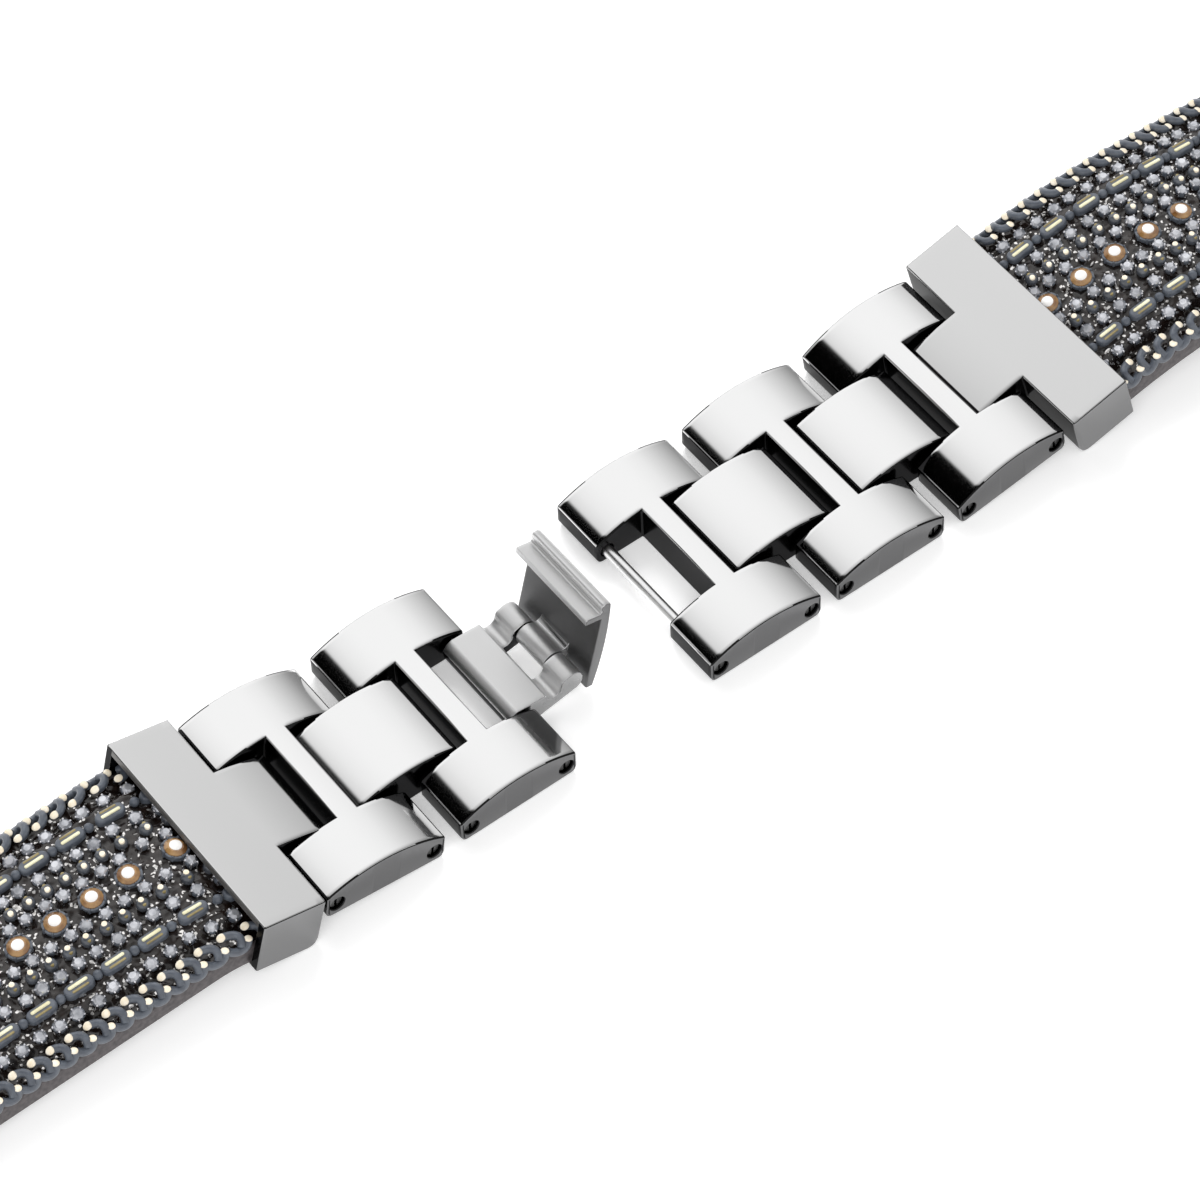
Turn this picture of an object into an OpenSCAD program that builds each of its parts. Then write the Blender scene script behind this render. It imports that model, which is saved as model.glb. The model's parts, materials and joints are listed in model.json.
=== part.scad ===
// Studded watch band, laid open on a flat surface.
// X runs along the band, Y across it and Z up. The links lie flat in the middle, and both ends rise
// to the end caps, whose straps come down to the surface again at the watch ends.
// A pose is [x, z, pitch]: a place in the side view and a tilt in degrees, with the +X end up.

/* [Links] */
// Width of the links, across the band
link_w = 18; // [16:0.5:22]
// Length of an H link along the band
link_l = 9.85; // [9:0.05:13]
// Height of an H link's end faces
link_end_h = 2.02; // [1.8:0.01:3]
// Radius of the arched top of every link
arch_r = 10.45; // [9:0.05:30]
// Rounding of the lower corners of the links
link_corner_r = 0.5; // [0.2:0.05:0.8]
// Width of the bar that joins the two cheeks of an H link
crossbar_l = 1.73; // [1.2:0.01:2.2]
// Width of a centre link, across the band
centre_w = 7.76; // [6:0.02:9]
// Height of a centre link's end faces
centre_end_h = 2.49; // [2.2:0.01:3]
// Distance between the two pins of a centre link
centre_pitch = 3.15; // [2.9:0.05:4.5]
// How far a centre link or a tongue reaches past its pin
reach = 2.6; // [1.8:0.05:2.65]
// Gap on each side of what moves in a fork
side_gap = 0.32; // [0.1:0.01:0.5]

/* [Pins] */
// Radius of the link pins
pin_r = 0.5; // [0.4:0.01:0.6]
// Distance of a pin from the end face of its H link
pin_inset = 0.885; // [0.8:0.005:1.2]
// Height of the pins above the underside of the links
pin_z = 1.07; // [0.95:0.01:1.3]
// How far each pin end lies inside its hole
pin_recess = 0.25; // [0.1:0.05:0.6]
// Width of the slot in a pin's end
pin_slot_w = 0.2; // [0.1:0.05:0.4]
// Depth of the slot in a pin's end
pin_slot_l = 2; // [0.5:0.1:3]
// Clearance round a pin that stays put
seat_gap = 0.02; // [0.01:0.005:0.05]
// Clearance round a pin that something turns on
run_gap = 0.04; // [0.02:0.01:0.1]

/* [Clasp] */
// Radius of the bar that the clasp closes over
bar_r = 0.45; // [0.35:0.01:0.55]
// Width of the clasp base and cover
clasp_w = 7.9; // [6:0.05:9]
// Distance from the base's pivot to the axis of the cover's hinge
hinge_x = 4.45; // [4.2:0.05:5]
// Height of the cover's hinge axis from the base's pivot
hinge_z = -0.165; // [-0.3:0.005:0]
// Radius of the hinge knuckles
knuckle_r = 0.885; // [0.75:0.005:0.95]
// Radius of the cover's hinge pin
hinge_pin_r = 0.4; // [0.3:0.01:0.5]
// Width of the middle knuckle, which belongs to the cover
middle_knuckle_w = 3.2; // [2:0.1:4]
// Clearance on each side of the middle knuckle
knuckle_gap = 0.11; // [0.05:0.01:0.2]
// Distance from the base's pivot to the window for the middle knuckle
window_x = 3.05; // [2.95:0.05:3.1]
// Distance from the base's pivot to the seat of the bar
seat_x = 2.85; // [2.7:0.05:3]
// Radius of the seat of the bar
seat_r = 0.6; // [0.5:0.01:0.65]
// How far the block round the pivot reaches to its left
block_reach = 1.1; // [1:0.05:1.2]
// Height of the block's top at its left end, from the pivot
block_top = 1.3; // [1.2:0.05:1.4]
// Height of the block's top beside the seat, from the pivot
block_low = 0.65; // [0.4:0.05:0.8]
// Rounding of the block's upper left edge
block_top_r = 0.7; // [0.5:0.05:0.8]
// Rounding of the block's lower left edge
heel_r = 1; // [0.8:0.05:1]
// Distance of the cover's inner face from its hinge axis
cover_gap = 1.2; // [1.15:0.05:1.5]
// Thickness of the cover's plate at its ends
cover_t = 0.6; // [0.5:0.05:1]
// Radius of the cover's arched outer face
cover_arch_r = 30; // [20:1:60]
// Length of the cover from its hinge axis to its tip
cover_l = 7.25; // [7:0.05:7.5]
// Length of the cover past its hinge axis
cover_tail = 1.1; // [0.8:0.05:1.2]
// How far the cover's ledge hangs down from its inner face
ledge_h = 1.4; // [1:0.05:1.5]
// Thickness of the cover's ledge
ledge_t = 0.68; // [0.5:0.02:0.8]
// Clearance between the ledge and the block as the cover closes
ledge_gap = 0.11; // [0.05:0.01:0.2]
// Tilt of the base as it lies, right end up
base_tilt = 10.6; // [5:0.1:12]
// Angle that the open cover has turned back from the base's length
cover_open = 114.2; // [100:0.1:116]
// Distance between the middles of the two links that the clasp joins
clasp_span = 21.6; // [20:0.1:30]

/* [End caps] */
// Width of an end cap
cap_w = 19; // [18:0.1:24]
// Length of an end cap's wide part along the band
cap_l = 5.05; // [4:0.05:8]
// Distance from a cap's pin to the face of its wide part
cap_face = 1.55; // [1.45:0.05:2]
// Height of a cap's top above its pin
cap_top = 1.6; // [1.5:0.05:2]
// Depth of a cap's underside below its pin
cap_drop = 2.85; // [2.6:0.05:3.2]
// Rounding of a cap's lower inner edge
cap_edge_r = 0.8; // [0.4:0.05:1]
// Drop of a cap's tongue from its root to its tip
tongue_fall = 0.3; // [0.1:0.05:0.4]
// Depth of the pocket that holds the strap
pocket_l = 2.4; // [1.5:0.1:3]
// Tilt of the left end cap as it lies, outer end up
left_cap_tilt = 15; // [12:0.5:18]
// Tilt of the right end cap as it lies, outer end up
right_cap_tilt = 14; // [12:0.5:18]

/* [Straps] */
// Width of a strap
strap_w = 17.6; // [16:0.1:22]
// Thickness of a strap's plain body
strap_t = 1.8; // [1.4:0.1:2.2]
// Length of a strap between its end cap and the axis of its spring bar
strap_l = 44; // [30:1:70]
// Radius at which the left strap bends as it leaves its cap
left_mouth_r = 9; // [8:1:60]
// Radius at which the right strap bends as it leaves its cap
right_mouth_r = 40; // [8:1:60]
// Clearance between a strap and its pocket
strap_gap = 0.02; // [0.01:0.01:0.1]
// Height of a strap's underside above its cap's underside
strap_rise = 0.25; // [0.2:0.05:0.8]
// Width of the plain rim beside the stone bed
rim_w = 0.4; // [0.3:0.05:1]
// Depth of the stone bed below the rim
bed_depth = 0.6; // [0.3:0.05:0.8]
// Height of the bed's raised middle above the rim
bed_rise = 0.9; // [0.2:0.05:1]
// Width of the bed's raised middle
crown_w = 13.4; // [13.4:0.1:13.6]
// Radius of the round watch end of a strap
barrel_r = 1.75; // [1.5:0.05:2.2]

/* [Studs] */
// Distance between two rings of an edge chain
chain_pitch = 1.48; // [1.46:0.01:2]
// Radius of the path of a chain ring
ring_r = 0.42; // [0.35:0.01:0.42]
// Radius of the tube that a chain ring is made of
tube_r = 0.3; // [0.2:0.01:0.3]
// Distance of a ring's inner half from the edge of the strap
chain_inset = 1.1; // [1.1:0.05:1.2]
// Distance that the two halves of a ring stand apart
ring_split = 0.36; // [0.1:0.02:0.4]
// Plain length of strap at each end of the studs
stud_margin = 1; // [0.8:0.1:3]
// Radius of the small crystals
crystal_r = 0.42; // [0.3:0.01:0.5]
// Height of the small crystals in their cups
crystal_h = 0.6; // [0.4:0.05:0.8]
// Distance of the inner row of small crystals from the middle line
inner_crystal_row = 3.45; // [3.4:0.05:3.6]
// Distance of the outer row of small crystals from the middle line
outer_crystal_row = 6.2; // [6.1:0.05:6.3]
// Radius of the large round stones
stone_r = 0.8; // [0.6:0.05:0.9]
// Height of the large round stones
stone_h = 0.65; // [0.5:0.05:0.9]
// Radius of the beads
bead_r = 0.5; // [0.4:0.05:0.55]
// Distance of the beads from the middle line
bead_row = 2.15; // [2:0.05:2.4]
// Length of a baguette stone
baguette_l = 2; // [1.4:0.05:2.2]
// Width of a baguette stone
baguette_w = 0.85; // [0.6:0.05:0.9]
// Height of a baguette stone
baguette_h = 0.65; // [0.5:0.05:0.9]
// Distance of the baguettes from the middle line
baguette_row = 4.85; // [4.8:0.05:5]
// Wall of the settings round the baguettes and large stones
setting_t = 0.16; // [0.1:0.01:0.2]
// Height of the settings
setting_h = 0.4; // [0.3:0.05:0.5]

/* [Spring bars] */
// Radius of a spring bar's tube
bar_tube_r = 0.9; // [0.9:0.02:1]
// Wall of a spring bar's tube
bar_tube_t = 0.2; // [0.15:0.01:0.2]
// Radius of a spring bar's tips
tip_r = 0.35; // [0.3:0.05:0.4]
// How far the shoulder behind each tip stands out round it
shoulder_step = 0.17; // [0.17:0.01:0.2]
// How far each tip stands out of the strap
tip_l = 0.9; // [0.6:0.1:1.2]
// Travel of the sliding tip
tip_travel = 0.9; // [0.5:0.1:1.2]
// Length of the plug of each tip inside the tube
plug_l = 5; // [4:0.5:6]
// Radius of the knob that draws the sliding tip back
knob_r = 0.45; // [0.3:0.05:0.55]
// Distance of the knob from the edge of the strap
knob_y = 2.6; // [2:0.1:3.5]
// Clearance round the knob in the tube's slot
knob_gap = 0.12; // [0.05:0.01:0.2]
// How far the knob's end lies inside the round watch end
knob_inset = 0.1; // [0.05:0.05:0.3]
// Length of the lip at each end of the tube
tube_lip = 0.3; // [0.2:0.05:0.5]

/* [Hidden] */
$fn = 48;
// Steps of a strap's bend and of the round watch end
BEND_STEPS = 12;
BARREL_STEPS = 24;
// Steps of a rounded edge of the clasp
EDGE_STEPS = 10;
// Sides of the largest arcs
ARC_FN = 360;
// Rounds of the search for a strap's slope, and the slope that it starts from
SLOPE_ROUNDS = 30;
FIRST_SLOPE = 5;
// Shares of a stone's radius at its foot and at its flat top
FOOT_SHARE = 0.7;
TABLE_SHARE = 0.6;
LEFT = 0;
RIGHT = 1;
// An overshoot for cuts that go right through
THROUGH = 1;
STEEL = "gainsboro";
POLISHED = "silver";

cap_tilts = [left_cap_tilt, right_cap_tilt];
mouth_rs = [left_mouth_r, right_mouth_r];
crystal_rows = [inner_crystal_row, outer_crystal_row];

// Where the pins lie in an H link, and the fork that takes what turns on them
pin_x = link_l / 2 - pin_inset;
fork_w = centre_w + 2 * side_gap;
link_pitch = 2 * pin_x + centre_pitch;
centre_l = centre_pitch + 2 * reach;

// A point turned by a pitch, and a pose that brings a body's point p to the place q
function turned(p, a) = [p[0] * cos(a) - p[1] * sin(a), p[0] * sin(a) + p[1] * cos(a)];
function pose_at(q, p, a) = let (t = turned(p, a)) [q[0] - t[0], q[1] - t[1], a];
function point_of(pose, p) = let (t = turned(p, pose[2])) [pose[0] + t[0], pose[1] + t[1]];

// The outer H links tilt until the rounded edge of their cap stands on the surface
function cap_pin_height(side) = let (a = cap_tilts[side])
    (cap_drop - cap_edge_r) * cos(a) + cap_edge_r - (cap_face + cap_edge_r) * sin(a);
function outer_tilt(side) = asin((cap_pin_height(side) - pin_z) / (2 * pin_x));
// Depth of an outer link's rounded lower corner below the surface that the flat links lie on
function corner_dip(side) = let (a = outer_tilt(side))
    (pin_inset - link_corner_r) * sin(a) + (pin_z - link_corner_r) * cos(a) + link_corner_r - pin_z;

// Poses of the links about the middle of the second link's underside
link_2_pose = [0, 0, 0];
centre_1_pose = [-link_pitch / 2, 0, 0];
link_1_pose = pose_at([pin_x - link_pitch, pin_z], [pin_x, pin_z], -outer_tilt(LEFT));
link_3_pose = [clasp_span, 0, 0];
centre_2_pose = [clasp_span + link_pitch / 2, 0, 0];
link_4_pose = [clasp_span + link_pitch, 0, 0];
centre_3_pose = [clasp_span + 1.5 * link_pitch, 0, 0];
link_5_pose = pose_at([clasp_span + 2 * link_pitch - pin_x, pin_z], [-pin_x, pin_z], outer_tilt(RIGHT));
cap_pins = [point_of(link_1_pose, [-pin_x, pin_z]), point_of(link_5_pose, [pin_x, pin_z])];
base_pose = [pin_x, pin_z, base_tilt];
hinge_place = point_of(base_pose, [hinge_x, hinge_z]);
cover_pose = [hinge_place[0], hinge_place[1], base_tilt - cover_open];

// A strap's underside in its cap's frame: a bend at the mouth, then a straight stretch that brings
// the round watch end down to the surface
mouth_x = -(cap_face + cap_l);
mouth_z = strap_rise - cap_drop;
function mouth_height(side) = let (a = cap_tilts[side])
    cap_pin_height(side) + (cap_face + cap_l) * sin(a) + mouth_z * cos(a);
// Height to come down from the bend's crest
function fall(side) = mouth_height(side) + mouth_rs[side] * (1 - cos(cap_tilts[side]));
function straight_l(side, a) = strap_l - mouth_rs[side] * (cap_tilts[side] + a) * PI / 180;
// The straight stretch's slope, found by repeating until its length and its fall agree
function settle(side, a, n) = n == 0 ? a : settle(side,
    asin((fall(side) - (mouth_rs[side] + barrel_r) * (1 - cos(a))) / straight_l(side, a)), n - 1);
slopes = [for (side = [LEFT, RIGHT]) settle(side, FIRST_SLOPE, SLOPE_ROUNDS)];
function bend_angle(side) = cap_tilts[side] + slopes[side];
function bend_l(side) = mouth_rs[side] * bend_angle(side) * PI / 180;
// The pose on a strap at a distance s from its mouth and a height h above its underside
function strap_pose(side, s, h) = let (
    a = min(s, bend_l(side)) / mouth_rs[side] * 180 / PI,
    r = mouth_rs[side] + h,
    past = max(s - bend_l(side), 0))
    [mouth_x - r * sin(a) - past * cos(a), mouth_z - mouth_rs[side] + r * cos(a) - past * sin(a), a];
function strap_point(side, s, h) = let (p = strap_pose(side, s, h)) [p[0], p[1]];

// The object's frame: origin in the middle of its length, on the surface that it lies on
function barrel_place(side) = let (q = turned(strap_point(side, strap_l, barrel_r), -cap_tilts[side]))
    [cap_pins[side][0] + (side == LEFT ? q[0] : -q[0]), cap_pins[side][1] + q[1]];
x_shift = -(barrel_place(LEFT)[0] + barrel_place(RIGHT)[0]) / 2;
z_lift = max(corner_dip(LEFT), corner_dip(RIGHT), 0);

// Stations of the studs along a strap
bed_l = strap_l - barrel_r - stud_margin / 2;
bed_top = strap_t + bed_rise;
chain_start = stud_margin + ring_r + tube_r;
chain_n = floor((bed_l - stud_margin - 2 * (ring_r + tube_r)) / chain_pitch);
cell = 2 * chain_pitch;
cell_n = floor(chain_n / 2);

// Places a body by its pose
module posed(pose) {
    translate([pose[0], 0, pose[1]]) rotate([0, -pose[2], 0]) children();
}

// Places what is drawn about the second link's underside in the object's frame
module in_frame() {
    translate([x_shift, 0, z_lift]) children();
}

// Places what is drawn in a left cap's frame, and mirrors it for the right one
module in_cap(side) {
    in_frame() translate([cap_pins[side][0], 0, cap_pins[side][1]])
        mirror([side, 0, 0]) rotate([0, cap_tilts[side], 0]) children();
}

// Draws a side view and gives it a width across the band
module across(w) {
    rotate([90, 0, 0]) linear_extrude(height = w, center = true) children();
}

// A round bar across the band, centred on the middle line
module bar(r, w) {
    rotate([90, 0, 0]) cylinder(r = r, h = w, center = true);
}

// What a rounded lower corner cuts away, for a corner on the right whose round starts at the origin
module corner_cut(r) {
    difference() {
        translate([0, -THROUGH]) square([r + THROUGH, r + THROUGH]);
        translate([0, r]) circle(r);
    }
}

// Side view of an arched link
module link_side(l, end_h) {
    rise = arch_r - sqrt(arch_r * arch_r - l * l / 4);
    difference() {
        intersection() {
            translate([-l / 2, 0]) square([l, end_h + rise]);
            translate([0, end_h + rise - arch_r]) circle(arch_r, $fn = ARC_FN);
        }
        for (s = [0, 1]) mirror([s, 0]) translate([l / 2 - link_corner_r, 0]) corner_cut(link_corner_r);
    }
}

module h_link() {
    color(POLISHED) difference() {
        across(link_w) link_side(link_l, link_end_h);
        for (s = [-1, 1]) {
            translate([s * (crossbar_l + link_l) / 2, 0, 0])
                cube([link_l, fork_w, 4 * link_end_h], center = true);
            translate([s * pin_x, 0, pin_z]) bar(pin_r + seat_gap, link_w + THROUGH);
        }
    }
}

// The link whose left hole holds the thinner catch bar
module catch_link() {
    color(POLISHED) difference() {
        across(link_w) link_side(link_l, link_end_h);
        for (s = [-1, 1]) translate([s * (crossbar_l + link_l) / 2, 0, 0])
            cube([link_l, fork_w, 4 * link_end_h], center = true);
        translate([-pin_x, 0, pin_z]) bar(bar_r + seat_gap, link_w + THROUGH);
        translate([pin_x, 0, pin_z]) bar(pin_r + seat_gap, link_w + THROUGH);
    }
}

module centre_link() {
    color(POLISHED) difference() {
        across(centre_w) link_side(centre_l, centre_end_h);
        for (s = [-1, 1]) translate([s * centre_pitch / 2, 0, pin_z])
            bar(pin_r + run_gap, centre_w + THROUGH);
    }
}

// A pin with a slotted near end, at its place in an H link
module link_pin(x, r) {
    pin_l = link_w - 2 * pin_recess;
    color(STEEL) translate([x, 0, pin_z]) difference() {
        bar(r, pin_l);
        translate([0, -pin_l / 2, 0]) cube([pin_slot_w, 2 * pin_slot_l, 4 * r], center = true);
    }
}

module link_pins() {
    link_pin(-pin_x, pin_r);
    link_pin(pin_x, pin_r);
}

// Side view of the clasp base about its pivot, without the seat of the bar
module base_side() {
    floor_z = hinge_z - knuckle_r;
    heel = [heel_r - block_reach, floor_z + heel_r];
    brow = [block_top_r - block_reach, block_top - block_top_r];
    polygon(concat(
        arc_points(heel, heel_r, 270, 180, EDGE_STEPS),
        arc_points(brow, block_top_r, 180, 90, EDGE_STEPS),
        [[seat_x - seat_r, block_low], [seat_x, block_low - seat_r],
            [seat_x + seat_r, hinge_z + knuckle_r / 2]],
        arc_points([hinge_x, hinge_z], knuckle_r, 90, -90, 2 * EDGE_STEPS)));
}

module clasp_base() {
    window_w = middle_knuckle_w + 2 * knuckle_gap;
    in_frame() posed(base_pose) color(STEEL) difference() {
        across(clasp_w) base_side();
        translate([seat_x, 0, block_low - seat_r / 2]) bar(seat_r, clasp_w + THROUGH);
        translate([window_x, -window_w / 2, -2 * block_top])
            cube([2 * hinge_x, window_w, 4 * block_top]);
        bar(pin_r + run_gap, clasp_w + THROUGH);
        translate([hinge_x, 0, hinge_z]) bar(hinge_pin_r + seat_gap, clasp_w + THROUGH);
    }
}

// Side view of the cover as it lies closed, about its hinge axis, with its tip at the left
module cover_side() {
    block_far = norm([hinge_x + block_reach - block_top_r, block_top - block_top_r - hinge_z])
        + block_top_r;
    ledge_x = block_far + ledge_gap;
    plate_l = cover_l + cover_tail;
    plate_rise = cover_arch_r - sqrt(cover_arch_r * cover_arch_r - plate_l * plate_l / 4);
    // A hollow fillet between the ledge and the tip
    fillet_r = cover_l - ledge_x - ledge_t;
    deep = cover_gap + cover_t / 2;
    intersection() {
        translate([-cover_l, cover_gap]) square([plate_l, cover_t + plate_rise]);
        translate([cover_tail - plate_l / 2, cover_gap + cover_t + plate_rise - cover_arch_r])
            circle(cover_arch_r, $fn = ARC_FN);
    }
    translate([-ledge_x - ledge_t, cover_gap - ledge_h]) square([ledge_t, ledge_h + deep - cover_gap]);
    polygon(concat(
        arc_points([-cover_l, cover_gap - fillet_r], fillet_r, 0, 90, EDGE_STEPS),
        [[-cover_l, deep], [-ledge_x - ledge_t / 2, deep], [-ledge_x - ledge_t / 2, cover_gap - fillet_r]]));
}

module clasp_cover() {
    in_frame() posed(cover_pose) color(STEEL) difference() {
        union() {
            across(clasp_w) cover_side();
            bar(knuckle_r, middle_knuckle_w);
            translate([0, 0, (cover_gap + cover_t / 2) / 2])
                cube([knuckle_r, middle_knuckle_w, cover_gap + cover_t / 2], center = true);
        }
        bar(hinge_pin_r + run_gap, clasp_w + THROUGH);
    }
}

module clasp_hinge_pin() {
    in_frame() posed(base_pose) color(POLISHED) translate([hinge_x, 0, hinge_z])
        bar(hinge_pin_r, clasp_w - pin_recess);
}

// Side view of an end cap about its pin, tongue at the right
module cap_side() {
    tongue_l = reach + cap_face;
    tongue_r = (tongue_l * tongue_l + tongue_fall * tongue_fall) / (2 * tongue_fall);
    tongue_bottom = -pin_z;
    difference() {
        translate([mouth_x, -cap_drop]) square([cap_l, cap_drop + cap_top]);
        translate([-cap_face - cap_edge_r, -cap_drop]) corner_cut(cap_edge_r);
    }
    // The tongue starts inside the wide part, and its arched top falls to its tip
    difference() {
        intersection() {
            translate([-cap_face - cap_edge_r, tongue_bottom])
                square([tongue_l + cap_edge_r, cap_top - tongue_bottom]);
            translate([-cap_face, cap_top - tongue_r]) circle(tongue_r, $fn = ARC_FN);
        }
        translate([reach - link_corner_r, tongue_bottom]) corner_cut(link_corner_r);
    }
}

module end_cap(side) {
    in_cap(side) color(POLISHED) difference() {
        intersection() {
            across(cap_w) cap_side();
            // The wide part and the tongue, seen from above
            union() {
                translate([mouth_x - THROUGH, -cap_w, -2 * cap_drop])
                    cube([cap_l + THROUGH, 2 * cap_w, 4 * cap_drop]);
                translate([-cap_face - THROUGH, -centre_w / 2, -2 * cap_drop])
                    cube([reach + cap_face + 2 * THROUGH, centre_w, 4 * cap_drop]);
            }
        }
        bar(pin_r + run_gap, centre_w + THROUGH);
        translate([mouth_x - THROUGH, -strap_w / 2 - strap_gap, mouth_z - strap_gap])
            cube([pocket_l + strap_gap + THROUGH, strap_w + 2 * strap_gap, strap_t + 2 * strap_gap]);
    }
}

// Points of an arc about a centre, from one angle to another
function arc_points(c, r, a0, a1, n) = [for (i = [0 : n]) let (a = a0 + (a1 - a0) * i / n)
    [c[0] + r * cos(a), c[1] + r * sin(a)]];

// Points along a strap at one height above its underside, from its mouth to a distance s
function strap_line(side, s, h) = concat(
    [for (i = [0 : BEND_STEPS]) strap_point(side, bend_l(side) * i / BEND_STEPS, h)],
    [strap_point(side, s, h)]);
function reversed(list) = [for (i = [len(list) - 1 : -1 : 0]) list[i]];

// Side view of a layer of a strap from its mouth to a distance s
module strap_layer(side, s, h0, h1) {
    polygon(concat(strap_line(side, s, h0), reversed(strap_line(side, s, h1))));
}

// Side view of a whole strap, with its end in the pocket and its round watch end
module strap_side(side) {
    barrel = strap_pose(side, strap_l, barrel_r);
    meet = asin(strap_t / barrel_r - 1);
    polygon(concat([[mouth_x + pocket_l, mouth_z]], strap_line(side, strap_l, 0),
        arc_points(barrel, barrel_r, barrel[2] - 90, barrel[2] - 360 + meet, BARREL_STEPS),
        reversed(strap_line(side, strap_l - barrel_r, strap_t)), [[mouth_x + pocket_l, mouth_z + strap_t]]));
}

module strap_body(side) {
    barrel = strap_pose(side, strap_l, barrel_r);
    slot_w = 2 * (knob_r + 2 * knob_gap);
    in_cap(side) color("#3a3230") difference() {
        across(strap_w) strap_side(side);
        across(strap_w - 2 * rim_w)
            strap_layer(side, bed_l, strap_t - bed_depth, strap_t + THROUGH);
        posed(barrel) {
            bar(bar_tube_r + strap_gap, strap_w + THROUGH);
            // The slot that the knob of the spring bar shows in
            translate([0, knob_y - strap_w / 2 + tip_travel / 2, -barrel_r])
                cube([slot_w, slot_w + tip_travel, 2 * barrel_r], center = true);
        }
    }
}

module stone_bed(side) {
    in_cap(side) color("#1d1614") {
        across(strap_w - 2 * rim_w) strap_layer(side, bed_l, strap_t - bed_depth, strap_t);
        across(crown_w) strap_layer(side, bed_l, strap_t - bed_depth, bed_top);
    }
}

// Half a ring of the chain, lying on the strap's rim
module half_ring() {
    rotate_extrude(angle = 180) translate([ring_r, 0]) circle(tube_r);
}

module edge_chains(side) {
    in_cap(side) color("slategray") for (i = [0 : chain_n - 1], far = [0, 1]) {
        posed(strap_pose(side, chain_start + i * chain_pitch, strap_t + tube_r)) mirror([0, far, 0])
            translate([0, chain_inset - strap_w / 2, 0]) {
                half_ring();
                translate([0, -ring_split, 0]) mirror([0, 1, 0]) half_ring();
            }
    }
}

// Places a copy of a stone at each cell of a row, on the bed's top, on both sides of the middle
module stone_row(side, y, shift) {
    in_cap(side) for (i = [0 : cell_n - 1], s = (y == 0 ? [1] : [-1, 1]))
        posed(strap_pose(side, chain_start + shift + i * cell, bed_top)) translate([0, s * y, 0]) children();
}

module crystals(side) {
    for (k = [0, 1]) color("lightsteelblue") stone_row(side, crystal_rows[k], k * chain_pitch) {
        cylinder(r1 = crystal_r * FOOT_SHARE, r2 = crystal_r, h = crystal_h / 2);
        translate([0, 0, crystal_h / 2])
            cylinder(r1 = crystal_r, r2 = crystal_r * TABLE_SHARE, h = crystal_h / 2);
    }
}

module beads(side) {
    color("dimgray") stone_row(side, bead_row, 0) intersection() {
        translate([0, 0, bead_r / 2]) sphere(bead_r);
        translate([0, 0, bead_r]) cube(2 * bead_r, center = true);
    }
}

module baguettes(side) {
    color("khaki") stone_row(side, baguette_row, 0)
        translate([0, 0, baguette_h / 2]) cube([baguette_l, baguette_w, baguette_h], center = true);
}

module round_stones(side) {
    color("peru") stone_row(side, 0, chain_pitch) {
        cylinder(r = stone_r, h = stone_h / 2);
        translate([0, 0, stone_h / 2])
            cylinder(r1 = stone_r, r2 = stone_r * TABLE_SHARE, h = stone_h / 2);
    }
}

module settings(side) {
    wall = setting_t + seat_gap;
    color("slategray") {
        stone_row(side, 0, chain_pitch) difference() {
            cylinder(r = stone_r + wall, h = setting_h);
            cylinder(r = stone_r + seat_gap, h = 3 * setting_h, center = true);
        }
        stone_row(side, baguette_row, 0) difference() {
            translate([0, 0, setting_h / 2])
                cube([baguette_l + 2 * wall, baguette_w + 2 * wall, setting_h], center = true);
            cube([baguette_l + 2 * seat_gap, baguette_w + 2 * seat_gap, 3 * setting_h], center = true);
        }
    }
}

// Places what is drawn about a spring bar's axis
module in_bar(side) {
    in_cap(side) posed(strap_pose(side, strap_l, barrel_r)) children();
}

// A round rod across the band between two places on the Y axis
module rod(r, y0, y1) {
    translate([0, y1, 0]) rotate([90, 0, 0]) cylinder(r = r, h = y1 - y0);
}

bore_r = bar_tube_r - bar_tube_t;
shoulder_r = tip_r + shoulder_step;
tube_end = strap_w / 2 - pin_recess;
rod_end = tube_end - tube_lip;
plug_end = rod_end - plug_l;

module bar_tube(side) {
    slot_w = 2 * (knob_r + knob_gap);
    in_bar(side) color("silver") difference() {
        rod(bar_tube_r, -tube_end, tube_end);
        rod(bore_r, -rod_end, rod_end);
        rod(shoulder_r + run_gap, -strap_w, strap_w);
        translate([0, knob_y - strap_w / 2 + tip_travel / 2, -bar_tube_r])
            cube([slot_w, slot_w + tip_travel, 2 * bar_tube_r], center = true);
    }
}

module bar_fixed_tip(side) {
    in_bar(side) color("silver") {
        rod(bore_r - seat_gap, plug_end, rod_end);
        rod(shoulder_r, rod_end - THROUGH, strap_w / 2);
        rod(tip_r, rod_end, strap_w / 2 + tip_l);
    }
}

module bar_sliding_tip(side) {
    in_bar(side) color("silver") {
        rod(bore_r - run_gap, -rod_end, -plug_end);
        rod(shoulder_r, -strap_w / 2, THROUGH - rod_end);
        rod(tip_r, -strap_w / 2 - tip_l, -rod_end);
        translate([0, knob_y - strap_w / 2, knob_inset - barrel_r])
            cylinder(r = knob_r, h = barrel_r - knob_inset);
    }
}

// The spring as a plain sleeve of its fully pressed length, against the fixed tip
module bar_spring(side) {
    in_bar(side) color("gray") difference() {
        rod(bore_r - 2 * run_gap, tip_travel - plug_end, plug_end);
        rod(tip_r, -strap_w, strap_w);
    }
}

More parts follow.
